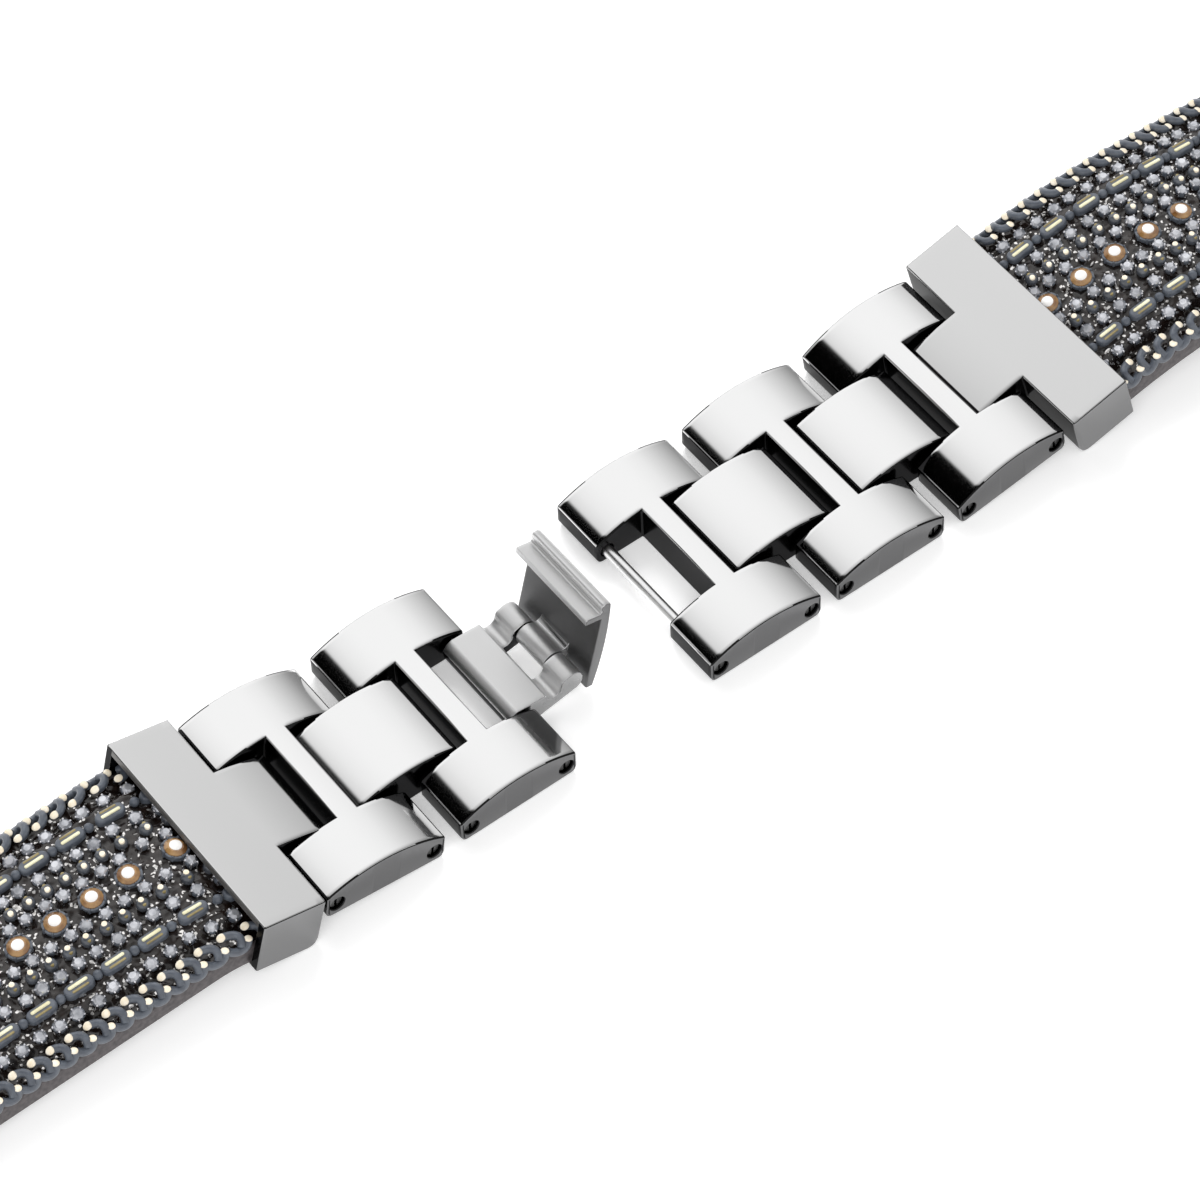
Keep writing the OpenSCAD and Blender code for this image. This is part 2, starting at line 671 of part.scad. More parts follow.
in_frame() posed(link_1_pose) h_link();  // h_link_1
in_frame() posed(link_2_pose) h_link();  // h_link_2
in_frame() posed(link_3_pose) catch_link();  // h_link_3
in_frame() posed(link_4_pose) h_link();  // h_link_4
in_frame() posed(link_5_pose) h_link();  // h_link_5
in_frame() posed(centre_1_pose) centre_link();  // centre_link_1
in_frame() posed(centre_2_pose) centre_link();  // centre_link_2
in_frame() posed(centre_3_pose) centre_link();  // centre_link_3
in_frame() posed(link_1_pose) link_pins();  // link_1_pins
in_frame() posed(link_2_pose) link_pins();  // link_2_pins
in_frame() posed(link_3_pose) link_pin(pin_x, pin_r);  // link_3_pin
in_frame() posed(link_4_pose) link_pins();  // link_4_pins
in_frame() posed(link_5_pose) link_pins();  // link_5_pins
in_frame() posed(link_3_pose) link_pin(-pin_x, bar_r);  // catch_bar
clasp_base();
clasp_cover();
clasp_hinge_pin();
end_cap(LEFT);  // left_end_cap
strap_body(LEFT);  // left_strap
stone_bed(LEFT);  // left_stone_bed
edge_chains(LEFT);  // left_edge_chains
crystals(LEFT);  // left_crystals
beads(LEFT);  // left_beads
baguettes(LEFT);  // left_baguettes
round_stones(LEFT);  // left_round_stones
settings(LEFT);  // left_settings
bar_tube(LEFT);  // left_bar_tube
bar_fixed_tip(LEFT);  // left_bar_fixed_tip
bar_sliding_tip(LEFT);  // left_bar_sliding_tip
bar_spring(LEFT);  // left_bar_spring
end_cap(RIGHT);  // right_end_cap
strap_body(RIGHT);  // right_strap
stone_bed(RIGHT);  // right_stone_bed
edge_chains(RIGHT);  // right_edge_chains
crystals(RIGHT);  // right_crystals
beads(RIGHT);  // right_beads
baguettes(RIGHT);  // right_baguettes
round_stones(RIGHT);  // right_round_stones
settings(RIGHT);  // right_settings
bar_tube(RIGHT);  // right_bar_tube
bar_fixed_tip(RIGHT);  // right_bar_fixed_tip
bar_sliding_tip(RIGHT);  // right_bar_sliding_tip
bar_spring(RIGHT);  // right_bar_spring
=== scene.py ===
"""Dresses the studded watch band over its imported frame.

Lengths are in metres, and MM turns millimetres into them. X runs along the band, Y across it and Z
up. Each piece is made in its own body's frame and set in place by a pose, which is worked out from
the hinges of the frame. A left piece is drawn with its outer end towards -X, and its mirror image
serves the right half.
"""
import json
import logging
import math
import random
from dataclasses import dataclass, field
from enum import Enum
from functools import reduce
from typing import Callable, Iterable, Optional, Sequence

import bmesh
import bpy
from mathutils import Matrix, Vector, noise


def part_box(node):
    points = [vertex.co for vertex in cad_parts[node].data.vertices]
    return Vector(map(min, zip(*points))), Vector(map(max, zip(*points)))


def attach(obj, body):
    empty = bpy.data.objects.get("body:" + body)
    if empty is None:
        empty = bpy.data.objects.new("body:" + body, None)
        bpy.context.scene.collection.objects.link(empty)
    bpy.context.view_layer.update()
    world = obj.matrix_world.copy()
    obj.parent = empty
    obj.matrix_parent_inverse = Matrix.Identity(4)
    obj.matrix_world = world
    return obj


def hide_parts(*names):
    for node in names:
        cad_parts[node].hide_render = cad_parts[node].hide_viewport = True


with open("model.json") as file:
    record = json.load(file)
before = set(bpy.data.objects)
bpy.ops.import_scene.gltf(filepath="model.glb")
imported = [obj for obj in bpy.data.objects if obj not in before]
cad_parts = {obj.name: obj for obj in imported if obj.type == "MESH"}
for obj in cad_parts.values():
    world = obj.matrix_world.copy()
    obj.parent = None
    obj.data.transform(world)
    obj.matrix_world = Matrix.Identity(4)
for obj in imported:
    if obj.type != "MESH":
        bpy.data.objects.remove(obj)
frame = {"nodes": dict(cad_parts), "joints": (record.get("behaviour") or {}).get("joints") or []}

LOG = logging.getLogger("watch_band")
MM = 0.001
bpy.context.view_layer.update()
# Points closer than this are one point, and edges that turn by more than this are bevelled.
TOUCHING = 1e-8
SHARP = math.radians(40)
BEVEL_SEGMENTS = 3
# The least distance between two stations, in bevels: a closer pair would narrow the bevels there.
BEVEL_ROOM = 1.1
FLIPS = (-1.0, 1.0)
# The length of a unit normal's part along an axis: hardly any, half of it, or most of it.
HARDLY, HALFWAY, MOSTLY = 0.1, 0.5, 0.7

Pair = tuple[float, float]
Point = tuple[float, float, float]
Colour = tuple[float, float, float]
Piece = bpy.types.Object
Face = bpy.types.MeshPolygon
Output = bpy.types.NodeSocket


class Side(Enum):
    """The two halves of the band."""

    LEFT = "left"
    RIGHT = "right"

    @property
    def mirrored(self) -> bool:
        """Whether a left piece is mirrored for this half."""
        return self is Side.RIGHT


@dataclass(frozen=True)
class Pose:
    """A place in the side view and a tilt, with the +X end up."""

    x: float
    z: float
    pitch: float = 0.0

    def matrix(self) -> Matrix:
        """Returns the matrix that brings a body's own frame to this pose."""
        return Matrix.Translation((self.x, 0.0, self.z)) @ Matrix.Rotation(-self.pitch, 4, "Y")


class Skeleton:
    """Places of the bodies, worked out from the joints of the frame."""

    PIN_HEIGHT = 1.07 * MM
    CAP_TILTS = {Side.LEFT: math.radians(15), Side.RIGHT: math.radians(14)}
    COVER_OPEN = math.radians(114.2)

    def __init__(self) -> None:
        """Reads the hinges of the frame."""
        self.hinges = {j["name"]: Vector(j["pos_m"]) for j in frame["joints"] if "pos_m" in j}

    @staticmethod
    def centre(node: str) -> Vector:
        """Returns the middle of a CAD node's box."""
        low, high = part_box(node)
        return (Vector(low) + Vector(high)) / 2

    def link(self, left: Vector, right: Vector) -> Pose:
        """Finds the pose of a link about the middle of its underside.

        Args:
            left: its left pin.
            right: its right pin.

        Returns:
            The pose.
        """
        along = right - left
        pitch = math.atan2(along.z, along.x)
        middle = (left + right) / 2
        x = middle.x + self.PIN_HEIGHT * math.sin(pitch)
        return Pose(x, middle.z - self.PIN_HEIGHT * math.cos(pitch), pitch)

    def links(self) -> dict[str, Pose]:
        """Finds the pose of every link.

        Returns:
            The poses by the names of the links' nodes.
        """
        h = self.hinges
        bar = self.centre("catch_bar")
        return {
            "h_link_1": self.link(h["left_cap_hinge"], h["link_1_hinge"]),
            "centre_link_1": self.link(h["link_1_hinge"], h["centre_link_1_hinge"]),
            "h_link_2": self.link(h["centre_link_1_hinge"], h["clasp_base_hinge"]),
            "h_link_3": self.link(bar, h["centre_link_2_hinge"]),
            "centre_link_2": self.link(h["centre_link_2_hinge"], h["link_4_hinge"]),
            "h_link_4": self.link(h["link_4_hinge"], h["centre_link_3_hinge"]),
            "centre_link_3": self.link(h["centre_link_3_hinge"], h["link_5_hinge"]),
            "h_link_5": self.link(h["link_5_hinge"], h["right_cap_hinge"]),
        }

    def cap(self, side: Side) -> Pose:
        """Finds the pose of an end cap about its pin.

        Args:
            side: the half that it belongs to.

        Returns:
            The pose.
        """
        pin = self.hinges[f"{side.value}_cap_hinge"]
        tilt = self.CAP_TILTS[side]
        return Pose(pin.x, pin.z, tilt if side.mirrored else -tilt)


def chord(radius: float, off: float) -> float:
    """Returns half the chord of a circle at a distance from its centre, and 0 outside it."""
    return math.sqrt(max(radius**2 - off**2, 0.0))


def rounding(radius: float, past: float) -> float:
    """Returns how far a round edge has turned away at a distance past its start."""
    return radius - chord(radius, past) if past > 0 else 0.0


def ease(u: float) -> float:
    """Returns a smooth step from 0 at 0 to 1 at 1."""
    return u * u * (3 - 2 * u)


def turns(count: int, start: float = 0.0) -> list[float]:
    """Returns the angles of evenly spaced points round a circle."""
    return [start + 2 * math.pi * k / count for k in range(count)]


def either_way(*places: float) -> list[float]:
    """Returns places on both sides of the middle line, in order."""
    return sorted({flip * place for flip in FLIPS for place in places})


def stretches(ends: Iterable[float], step: float) -> list[float]:
    """Fills the stretches between given places evenly.

    Args:
        ends: the places that must be there.
        step: the least distance between two places.

    Returns:
        All the places in order.
    """
    found = sorted(set(ends))
    places = found[:1]
    for low, high in zip(found, found[1:]):
        count = max(int((high - low) / step), 1)
        places += [low + (high - low) * k / count for k in range(1, count + 1)]
    return places


def mesh_object(name: str, bm: bmesh.types.BMesh) -> Piece:
    """Turns a bmesh into an object of the scene, and frees it.

    Args:
        name: the object's name.
        bm: the finished mesh.

    Returns:
        The new object.
    """
    mesh = bpy.data.meshes.new(name)
    bm.to_mesh(mesh)
    bm.free()
    obj = bpy.data.objects.new(name, mesh)
    bpy.context.scene.collection.objects.link(obj)
    return obj


def bevel_edges(bm: bmesh.types.BMesh, width: float) -> None:
    """Bevels the sharp edges of a closed mesh.

    Args:
        bm: the mesh.
        width: the width of the bevels.
    """
    bmesh.ops.recalc_face_normals(bm, faces=bm.faces)
    edges = [e for e in bm.edges if len(e.link_faces) == 2 and e.calc_face_angle(0.0) > SHARP]
    bmesh.ops.bevel(
        bm, geom=edges, offset=width, offset_type="OFFSET", segments=BEVEL_SEGMENTS, profile=0.5,
        affect="EDGES", clamp_overlap=True,
    )


def smooth(obj: Piece, sharp_above: float = 32.0) -> Piece:
    """Shades an object smooth, with its flat faces kept flat.

    Args:
        obj: the object.
        sharp_above: the angle in degrees above which an edge stays sharp.

    Returns:
        The same object.
    """
    for face in obj.data.polygons:
        face.use_smooth = True
    obj.data.set_sharp_from_angle(angle=math.radians(sharp_above))
    weighted = obj.modifiers.new("flat faces", "WEIGHTED_NORMAL")
    weighted.keep_sharp = True
    return obj


def cut(obj: Piece, tools: Sequence[Piece]) -> Piece:
    """Cuts other objects out of one, and deletes them.

    Args:
        obj: the object.
        tools: the objects that are cut out of it.

    Returns:
        The same object, with a new mesh.
    """
    for tool in tools:
        step = obj.modifiers.new("cut", "BOOLEAN")
        step.operation = "DIFFERENCE"
        step.solver = "EXACT"
        step.object = tool
    graph = bpy.context.evaluated_depsgraph_get()
    mesh = bpy.data.meshes.new_from_object(obj.evaluated_get(graph))
    obj.modifiers.clear()
    obj.data = mesh
    for tool in tools:
        bpy.data.objects.remove(tool)
    return obj


@dataclass(frozen=True)
class Station:
    """A place along a slab, with the height of its top and of its underside."""

    x: float
    top: float
    bottom: float


def slab(
    name: str,
    stations: Sequence[Station],
    lines: Sequence[float],
    kept: Callable[[float, float], bool],
    bevel: float,
) -> Piece:
    """Makes a closed slab with bevelled edges from a grid seen from above.

    Args:
        name: the object's name.
        stations: the grid's places along X; two at one X make a step.
        lines: the grid's places along Y.
        kept: says whether the cell about a point (x, y) is solid.
        bevel: the width of the bevels.

    Returns:
        The new object.
    """
    bm = bmesh.new()
    made: dict[tuple[int, int, int], bmesh.types.BMVert] = {}

    def corner(i: int, j: int, level: int) -> bmesh.types.BMVert:
        """Finds or makes a vertex of the grid.

        Args:
            i: the number of its station.
            j: the number of its line.
            level: 1 for the top and 0 for the underside.

        Returns:
            The vertex.
        """
        if (i, j, level) not in made:
            station = stations[i]
            height = station.top if level else station.bottom
            made[i, j, level] = bm.verts.new((station.x, lines[j], height))
        return made[i, j, level]

    def solid(i: int, j: int) -> bool:
        """Says whether a cell is solid.

        Args:
            i: the number of its first station.
            j: the number of its first line.

        Returns:
            Whether it is in the grid and kept.
        """
        if not (0 <= i < len(stations) - 1 and 0 <= j < len(lines) - 1):
            return False
        return kept((stations[i].x + stations[i + 1].x) / 2, (lines[j] + lines[j + 1]) / 2)

    for i in range(len(stations) - 1):
        for j in range(len(lines) - 1):
            if not solid(i, j):
                continue
            ring = [(i, j), (i + 1, j), (i + 1, j + 1), (i, j + 1)]
            bm.faces.new([corner(a, b, 1) for a, b in ring])
            bm.faces.new([corner(a, b, 0) for a, b in reversed(ring)])
            beyond = [(i, j - 1), (i + 1, j), (i, j + 1), (i - 1, j)]
            for k, cell in enumerate(beyond):
                if solid(*cell):
                    continue
                a, b = ring[k], ring[(k + 1) % 4]
                bm.faces.new([corner(*a, 0), corner(*b, 0), corner(*b, 1), corner(*a, 1)])
    bmesh.ops.remove_doubles(bm, verts=bm.verts, dist=TOUCHING)
    bmesh.ops.dissolve_degenerate(bm, edges=bm.edges, dist=TOUCHING)
    bevel_edges(bm, bevel)
    return mesh_object(name, bm)


@dataclass(frozen=True)
class Hole:
    """A flared hole right across a link: its place, its radius and the bevel at each mouth."""

    x: float
    z: float
    radius: float
    flare: float

    PAST = 0.3 * MM
    SIDES = 40

    def tool(self, width: float) -> Piece:
        """Makes the tool that cuts the hole.

        Args:
            width: the width of what it goes through.

        Returns:
            The tool, which cut() deletes.
        """
        shape, half, mouth = Shape(), width / 2, self.radius + self.flare + self.PAST
        ends = ((half + self.PAST, mouth), (half - self.flare, self.radius))
        ends = [(-y, r) for y, r in ends] + list(reversed(ends))
        shape.rings([
            [
                Vector((self.x + r * math.cos(a), y, self.z + r * math.sin(a)))
                for a in turns(self.SIDES)
            ]
            for y, r in ends
        ])
        return shape.finish("hole")


def block(low: Point, high: Point) -> Piece:
    """Makes a box-shaped tool for cut().

    Args:
        low: its lowest corner.
        high: its highest corner.

    Returns:
        The tool.
    """
    bm = bmesh.new()
    bmesh.ops.create_cube(bm, size=1.0)
    bmesh.ops.scale(bm, vec=Vector(high) - Vector(low), verts=bm.verts)
    bmesh.ops.translate(bm, vec=(Vector(high) + Vector(low)) / 2, verts=bm.verts)
    return mesh_object("block", bm)


@dataclass(frozen=True)
class Turned:
    """A turned form: (radius, height) pairs in millimetres from the bottom up, and its sides.

    Where a stone has a radius of its own, the first numbers are shares of it.
    """

    profile: tuple[Pair, ...]
    sides: int


@dataclass(frozen=True)
class Bar:
    """A long block with round ends: half its length and half its width in millimetres.

    Its profile has (share of the width, height in millimetres) pairs from the bottom up.
    """

    long: float
    wide: float
    profile: tuple[Pair, ...]

    END_POINTS = 9

    def ring(self, share: float) -> list[Pair]:
        """Draws the bar's outline from above.

        Args:
            share: its width here, as a share of the whole.

        Returns:
            The outline's (x, y) points in metres.
        """
        radius = self.wide * MM * share
        step = 180 / (self.END_POINTS - 1)
        angles = [math.radians(-90 + step * k) for k in range(self.END_POINTS)]
        far = self.long * MM - self.wide * MM
        half = [(far + radius * math.cos(a), radius * math.sin(a)) for a in angles]
        return half + [(-x, -y) for x, y in half]


class Shape:
    """A mesh that gathers copies of a small form."""

    def __init__(self) -> None:
        """Starts an empty mesh."""
        self.bm = bmesh.new()

    def rings(self, rings: Sequence[Sequence[Vector]], capped: bool = True) -> None:
        """Adds a tube of rings.

        Args:
            rings: the rings, each with as many points.
            capped: whether the first and the last ring are closed.
        """
        made = [[self.bm.verts.new(p) for p in ring] for ring in rings]
        count = len(made[0])
        for low, high in zip(made, made[1:]):
            for k in range(count):
                n = (k + 1) % count
                self.bm.faces.new([low[k], low[n], high[n], high[k]])
        if capped:
            self.bm.faces.new(list(reversed(made[0])))
            self.bm.faces.new(made[-1])

    def lathe(self, matrix: Matrix, form: Turned, radius: float = MM, start: float = 0.0) -> None:
        """Adds a turned form.

        Args:
            matrix: where it stands.
            form: its profile and sides.
            radius: the length that the profile's radii are shares of.
            start: the angle of its first corner.
        """
        rings = []
        for share, height in form.profile:
            far = radius * share
            rings.append([
                matrix @ Vector((far * math.cos(a), far * math.sin(a), height * MM))
                for a in turns(form.sides, start)
            ])
        self.rings(rings)

    def bar(self, matrix: Matrix, form: Bar) -> None:
        """Adds a long block with round ends.

        Args:
            matrix: where it stands.
            form: its sizes.
        """
        self.rings([
            [matrix @ Vector((x, y, height * MM)) for x, y in form.ring(share)]
            for share, height in form.profile
        ])

    def tube(self, path: Sequence[Vector], radius: float, sides: int, face: Vector) -> list[Vector]:
        """Adds a round tube along a path.

        Args:
            path: the middle line.
            radius: the tube's radius.
            sides: the number of sides.
            face: the way that the first end's cut faces.

        Returns:
            The first ring's points.
        """
        rings = []
        up = Vector((0.0, 0.0, 1.0))
        for k, place in enumerate(path):
            before, after = path[max(k - 1, 0)], path[min(k + 1, len(path) - 1)]
            along = (after - before).normalized()
            across = along.cross(up).normalized()
            over = across.cross(along)
            ring = [
                place + radius * (math.cos(a) * across + math.sin(a) * over) for a in turns(sides)
            ]
            if k == 0:
                ring = [p + along * (face.dot(place - p) / face.dot(along)) for p in ring]
            rings.append(ring)
        self.rings(rings)
        return rings[0]

    def finish(self, name: str, merged: bool = False) -> Piece:
        """Makes an object of the gathered mesh.

        Args:
            name: the object's name.
            merged: whether points that touch become one.

        Returns:
            The new object.
        """
        if merged:
            bmesh.ops.remove_doubles(self.bm, verts=self.bm.verts, dist=TOUCHING)
        bmesh.ops.recalc_face_normals(self.bm, faces=self.bm.faces)
        return mesh_object(name, self.bm)


def cubic(points: Sequence[Point], steps: int) -> list[Vector]:
    """Finds points along a cubic curve.

    Args:
        points: the curve's two ends with its two handles between them.
        steps: the number of stretches.

    Returns:
        The points from end to end.
    """
    a, b, c, d = (Vector(p) for p in points)
    curve = []
    for k in range(steps + 1):
        u = k / steps
        v = 1.0 - u
        curve.append(v**3 * a + 3 * v * v * u * b + 3 * v * u * u * c + u**3 * d)
    return curve


def round_profile(
    radius: float, height: float, first: float, step: float, count: int
) -> tuple[Pair, ...]:
    """Draws the profile of a ball that is cut off at its foot, in millimetres.

    Args:
        radius: the ball's radius.
        height: the height of its centre.
        first: the angle of the first point in degrees, from the side upwards.
        step: the angle between two points.
        count: the number of points.

    Returns:
        The (radius, height) pairs from the bottom up.
    """
    angles = [math.radians(first + step * k) for k in range(count)]
    return tuple((radius * math.cos(a), height + radius * math.sin(a)) for a in angles)


def arc(centre: Pair, radius: float, first: float, last: float, steps: int) -> list[Pair]:
    """Finds the points of an arc in the side view.

    Args:
        centre: its centre.
        radius: its radius.
        first: its first angle in degrees.
        last: its last angle in degrees.
        steps: the number of stretches.

    Returns:
        The (x, z) points.
    """
    angles = (math.radians(first + (last - first) * k / steps) for k in range(steps + 1))
    return [(centre[0] + radius * math.cos(a), centre[1] + radius * math.sin(a)) for a in angles]


def prism(name: str, outline: Sequence[Pair], width: float, bevel: float) -> Piece:
    """Makes a bar across the band from its side view, with bevelled ends.

    Args:
        name: the object's name.
        outline: the (x, z) points of the side view.
        width: the bar's width.
        bevel: the width of the bevels.

    Returns:
        The new object.
    """
    shape = Shape()
    shape.rings([[Vector((x, y, z)) for x, z in outline] for y in (-width / 2, width / 2)])
    bevel_edges(shape.bm, bevel)
    return shape.finish(name)


class Socket(Enum):
    """The kinds of value that a node group takes and gives."""

    NUMBER = "NodeSocketFloat"
    COLOUR = "NodeSocketColor"


class NodeGraph:
    """A small helper that adds and joins shader nodes."""

    def __init__(self, tree: bpy.types.NodeTree) -> None:
        """Keeps the tree that nodes are added to."""
        self.tree = tree

    def add(self, kind: str, **settings: object) -> bpy.types.Node:
        """Adds a node and sets its properties.

        Args:
            kind: the node's type name.
            settings: its properties by name.

        Returns:
            The new node.
        """
        node = self.tree.nodes.new(kind)
        for key, value in settings.items():
            setattr(node, key, value)
        return node

    def join(self, out: Output, into: bpy.types.NodeSocket) -> None:
        """Joins an output to an input."""
        self.tree.links.new(out, into)

    def calculate(self, operation: str, *values: Output | float) -> Output:
        """Adds a math node.

        Args:
            operation: what it does.
            values: its inputs, each an output to join or a plain number.

        Returns:
            Its output.
        """
        node = self.add("ShaderNodeMath", operation=operation)
        for value, into in zip(values, node.inputs):
            if isinstance(value, (int, float)):
                into.default_value = value
            else:
                self.join(value, into)
        return node.outputs[0]

    def ramp(self, source: Output, stops: Sequence[Pair]) -> Output:
        """Adds a grey ramp of a value.

        Args:
            source: the value.
            stops: the ramp's (place, grey) stops.

        Returns:
            The ramp's output.
        """
        node = self.add("ShaderNodeValToRGB")
        band = node.color_ramp
        while len(band.elements) < len(stops):
            band.elements.new(0.5)
        for element, (place, level) in zip(band.elements, stops):
            element.position = place
            element.color = (*grey(level), 1.0)
        self.join(source, node.inputs["Fac"])
        return node.outputs["Color"]

    def mix(self, share: Output, first: Output, second: Output | Colour) -> Output:
        """Adds a node that mixes two colours.

        Args:
            share: how much of the second one there is.
            first: the first colour.
            second: the second colour, an output or a plain colour.

        Returns:
            The mixed colour.
        """
        node = self.add("ShaderNodeMix", data_type="RGBA")
        self.join(share, node.inputs["Factor"])
        self.join(first, node.inputs["A"])
        if isinstance(second, tuple):
            node.inputs["B"].default_value = (*second, 1.0)
        else:
            self.join(second, node.inputs["B"])
        return node.outputs["Result"]

    def bump(
        self, height: Output, strength: float, distance: float, into: bpy.types.NodeSocket
    ) -> None:
        """Adds a bump node.

        Args:
            height: the height that it reads.
            strength: its strength.
            distance: its distance.
            into: the normal input that it feeds.
        """
        node = self.add("ShaderNodeBump")
        node.inputs["Strength"].default_value = strength
        node.inputs["Distance"].default_value = distance
        self.join(height, node.inputs["Height"])
        self.join(node.outputs["Normal"], into)


def make_group(
    name: str, inputs: Sequence[tuple[str, Socket, float]], outputs: Sequence[tuple[str, Socket]]
) -> tuple[bpy.types.NodeTree, NodeGraph, bpy.types.Node, bpy.types.Node]:
    """Starts a shader node group.

    Args:
        name: the group's name.
        inputs: the name, kind and first value of each input.
        outputs: the name and kind of each output.

    Returns:
        The group, its graph, its input node and its output node.
    """
    group = bpy.data.node_groups.new(name, "ShaderNodeTree")
    for label, kind, value in inputs:
        item = group.interface.new_socket(name=label, in_out="INPUT", socket_type=kind.value)
        if kind is Socket.NUMBER:
            item.default_value = value
    for label, kind in outputs:
        group.interface.new_socket(name=label, in_out="OUTPUT", socket_type=kind.value)
    graph = NodeGraph(group)
    return group, graph, graph.add("NodeGroupInput"), graph.add("NodeGroupOutput")


class SurfaceGroups:
    """The shader node groups that more than one finish uses."""

    WEAR_DETAIL = 3.0
    GRAIN_DETAIL = 4.0
    GRAIN_STOPS = ((0.35, 0.0), (0.65, 1.0))

    def __init__(self) -> None:
        """Builds each group once."""
        self.scratches = self._scratches()
        self.grain = self._grain()

    def _scratches(self) -> bpy.types.NodeTree:
        """Makes a group of fine wear lines that changes roughness and height.

        Returns:
            The group.
        """
        group, graph, given, result = make_group(
            "fine wear lines",
            [("Roughness", Socket.NUMBER, 0.1), ("Spread", Socket.NUMBER, 0.05),
             ("Scale", Socket.NUMBER, 800.0), ("Stretch", Socket.NUMBER, 12.0)],
            [("Roughness", Socket.NUMBER), ("Height", Socket.NUMBER)],
        )
        place = graph.add("ShaderNodeTexCoord")
        shape = graph.add("ShaderNodeCombineXYZ")
        scale = given.outputs["Scale"]
        graph.join(scale, shape.inputs["X"])
        graph.join(graph.calculate("DIVIDE", scale, given.outputs["Stretch"]), shape.inputs["Y"])
        graph.join(scale, shape.inputs["Z"])
        scaled = graph.add("ShaderNodeVectorMath", operation="MULTIPLY")
        graph.join(place.outputs["Object"], scaled.inputs[0])
        graph.join(shape.outputs[0], scaled.inputs[1])
        lines = graph.add("ShaderNodeTexNoise")
        lines.inputs["Scale"].default_value = 1.0
        lines.inputs["Detail"].default_value = self.WEAR_DETAIL
        graph.join(scaled.outputs[0], lines.inputs["Vector"])
        height = lines.outputs["Fac"]
        centred = graph.calculate("SUBTRACT", height, 0.5)
        spread, base = given.outputs["Spread"], given.outputs["Roughness"]
        rough = graph.calculate("MULTIPLY_ADD", centred, spread, base)
        graph.join(rough, result.inputs["Roughness"])
        graph.join(height, result.inputs["Height"])
        return group

    def _grain(self) -> bpy.types.NodeTree:
        """Makes a group of speckled grain that mixes two colours.

        Returns:
            The group.
        """
        group, graph, given, result = make_group(
            "speckled grain",
            [("Dark", Socket.COLOUR, 0.0), ("Light", Socket.COLOUR, 0.0),
             ("Scale", Socket.NUMBER, 1500.0)],
            [("Color", Socket.COLOUR), ("Height", Socket.NUMBER)],
        )
        place = graph.add("ShaderNodeTexCoord")
        speckle = graph.add("ShaderNodeTexNoise")
        speckle.inputs["Detail"].default_value = self.GRAIN_DETAIL
        graph.join(place.outputs["Object"], speckle.inputs["Vector"])
        graph.join(given.outputs["Scale"], speckle.inputs["Scale"])
        shown = graph.ramp(speckle.outputs["Fac"], self.GRAIN_STOPS)
        colour = graph.mix(shown, given.outputs["Dark"], given.outputs["Light"])
        graph.join(colour, result.inputs["Color"])
        graph.join(speckle.outputs["Fac"], result.inputs["Height"])
        return group


def start_material(name: str) -> tuple[bpy.types.Material, NodeGraph, bpy.types.Node]:
    """Starts a node material.

    Args:
        name: the material's name.

    Returns:
        The material, its graph and its Principled shader.
    """
    material = bpy.data.materials.new(name)
    material.use_nodes = True
    return material, NodeGraph(material.node_tree), material.node_tree.nodes["Principled BSDF"]


def set_inputs(node: bpy.types.Node, **values: object) -> None:
    """Sets a node's inputs, whose names are written with _ for each space."""
    for key, value in values.items():
        node.inputs[key.replace("_", " ")].default_value = value


def grey(level: float, blue: float = 0.0) -> Colour:
    """Returns a grey, with so much more blue in it."""
    return (level, level, level + blue)


@dataclass(frozen=True)
class SteelFinish:
    """Polished or satin steel with fine wear lines."""

    name: str
    colour: Colour
    roughness: float
    spread: float
    scale: float
    stretch: float
    relief: float
    metallic: float = 1.0
    edge_tint: float = 1.0

    DEPTH = 0.002 * MM

    def build(self, groups: SurfaceGroups) -> bpy.types.Material:
        """Makes the material.

        Args:
            groups: the shared node groups.

        Returns:
            The material.
        """
        material, graph, shader = start_material(self.name)
        tint = (*grey(self.edge_tint), 1.0)
        set_inputs(shader, Base_Color=(*self.colour, 1.0), Metallic=self.metallic)
        set_inputs(shader, Specular_Tint=tint)
        wear = graph.add("ShaderNodeGroup", node_tree=groups.scratches)
        set_inputs(wear, Roughness=self.roughness, Spread=self.spread)
        set_inputs(wear, Scale=self.scale, Stretch=self.stretch)
        graph.join(wear.outputs["Roughness"], shader.inputs["Roughness"])
        graph.bump(wear.outputs["Height"], self.relief, self.DEPTH, shader.inputs["Normal"])
        return material


@dataclass(frozen=True)
class GrainFinish:
    """A plain moulded or enamelled finish with a fine speckled grain."""

    name: str
    dark: Colour
    light: Colour
    roughness: float
    scale: float
    relief: float
    metallic: float = 0.0
    coat: float = 0.0

    DEPTH = 0.02 * MM
    COAT_ROUGHNESS = 0.08

    def build(self, groups: SurfaceGroups) -> bpy.types.Material:
        """Makes the material.

        Args:
            groups: the shared node groups.

        Returns:
            The material.
        """
        material, graph, shader = start_material(self.name)
        grain = graph.add("ShaderNodeGroup", node_tree=groups.grain)
        set_inputs(grain, Dark=(*self.dark, 1.0), Light=(*self.light, 1.0), Scale=self.scale)
        graph.join(grain.outputs["Color"], shader.inputs["Base Color"])
        set_inputs(shader, Roughness=self.roughness, Metallic=self.metallic)
        set_inputs(shader, Coat_Weight=self.coat, Coat_Roughness=self.COAT_ROUGHNESS)
        graph.bump(grain.outputs["Height"], self.relief, self.DEPTH, shader.inputs["Normal"])
        return material


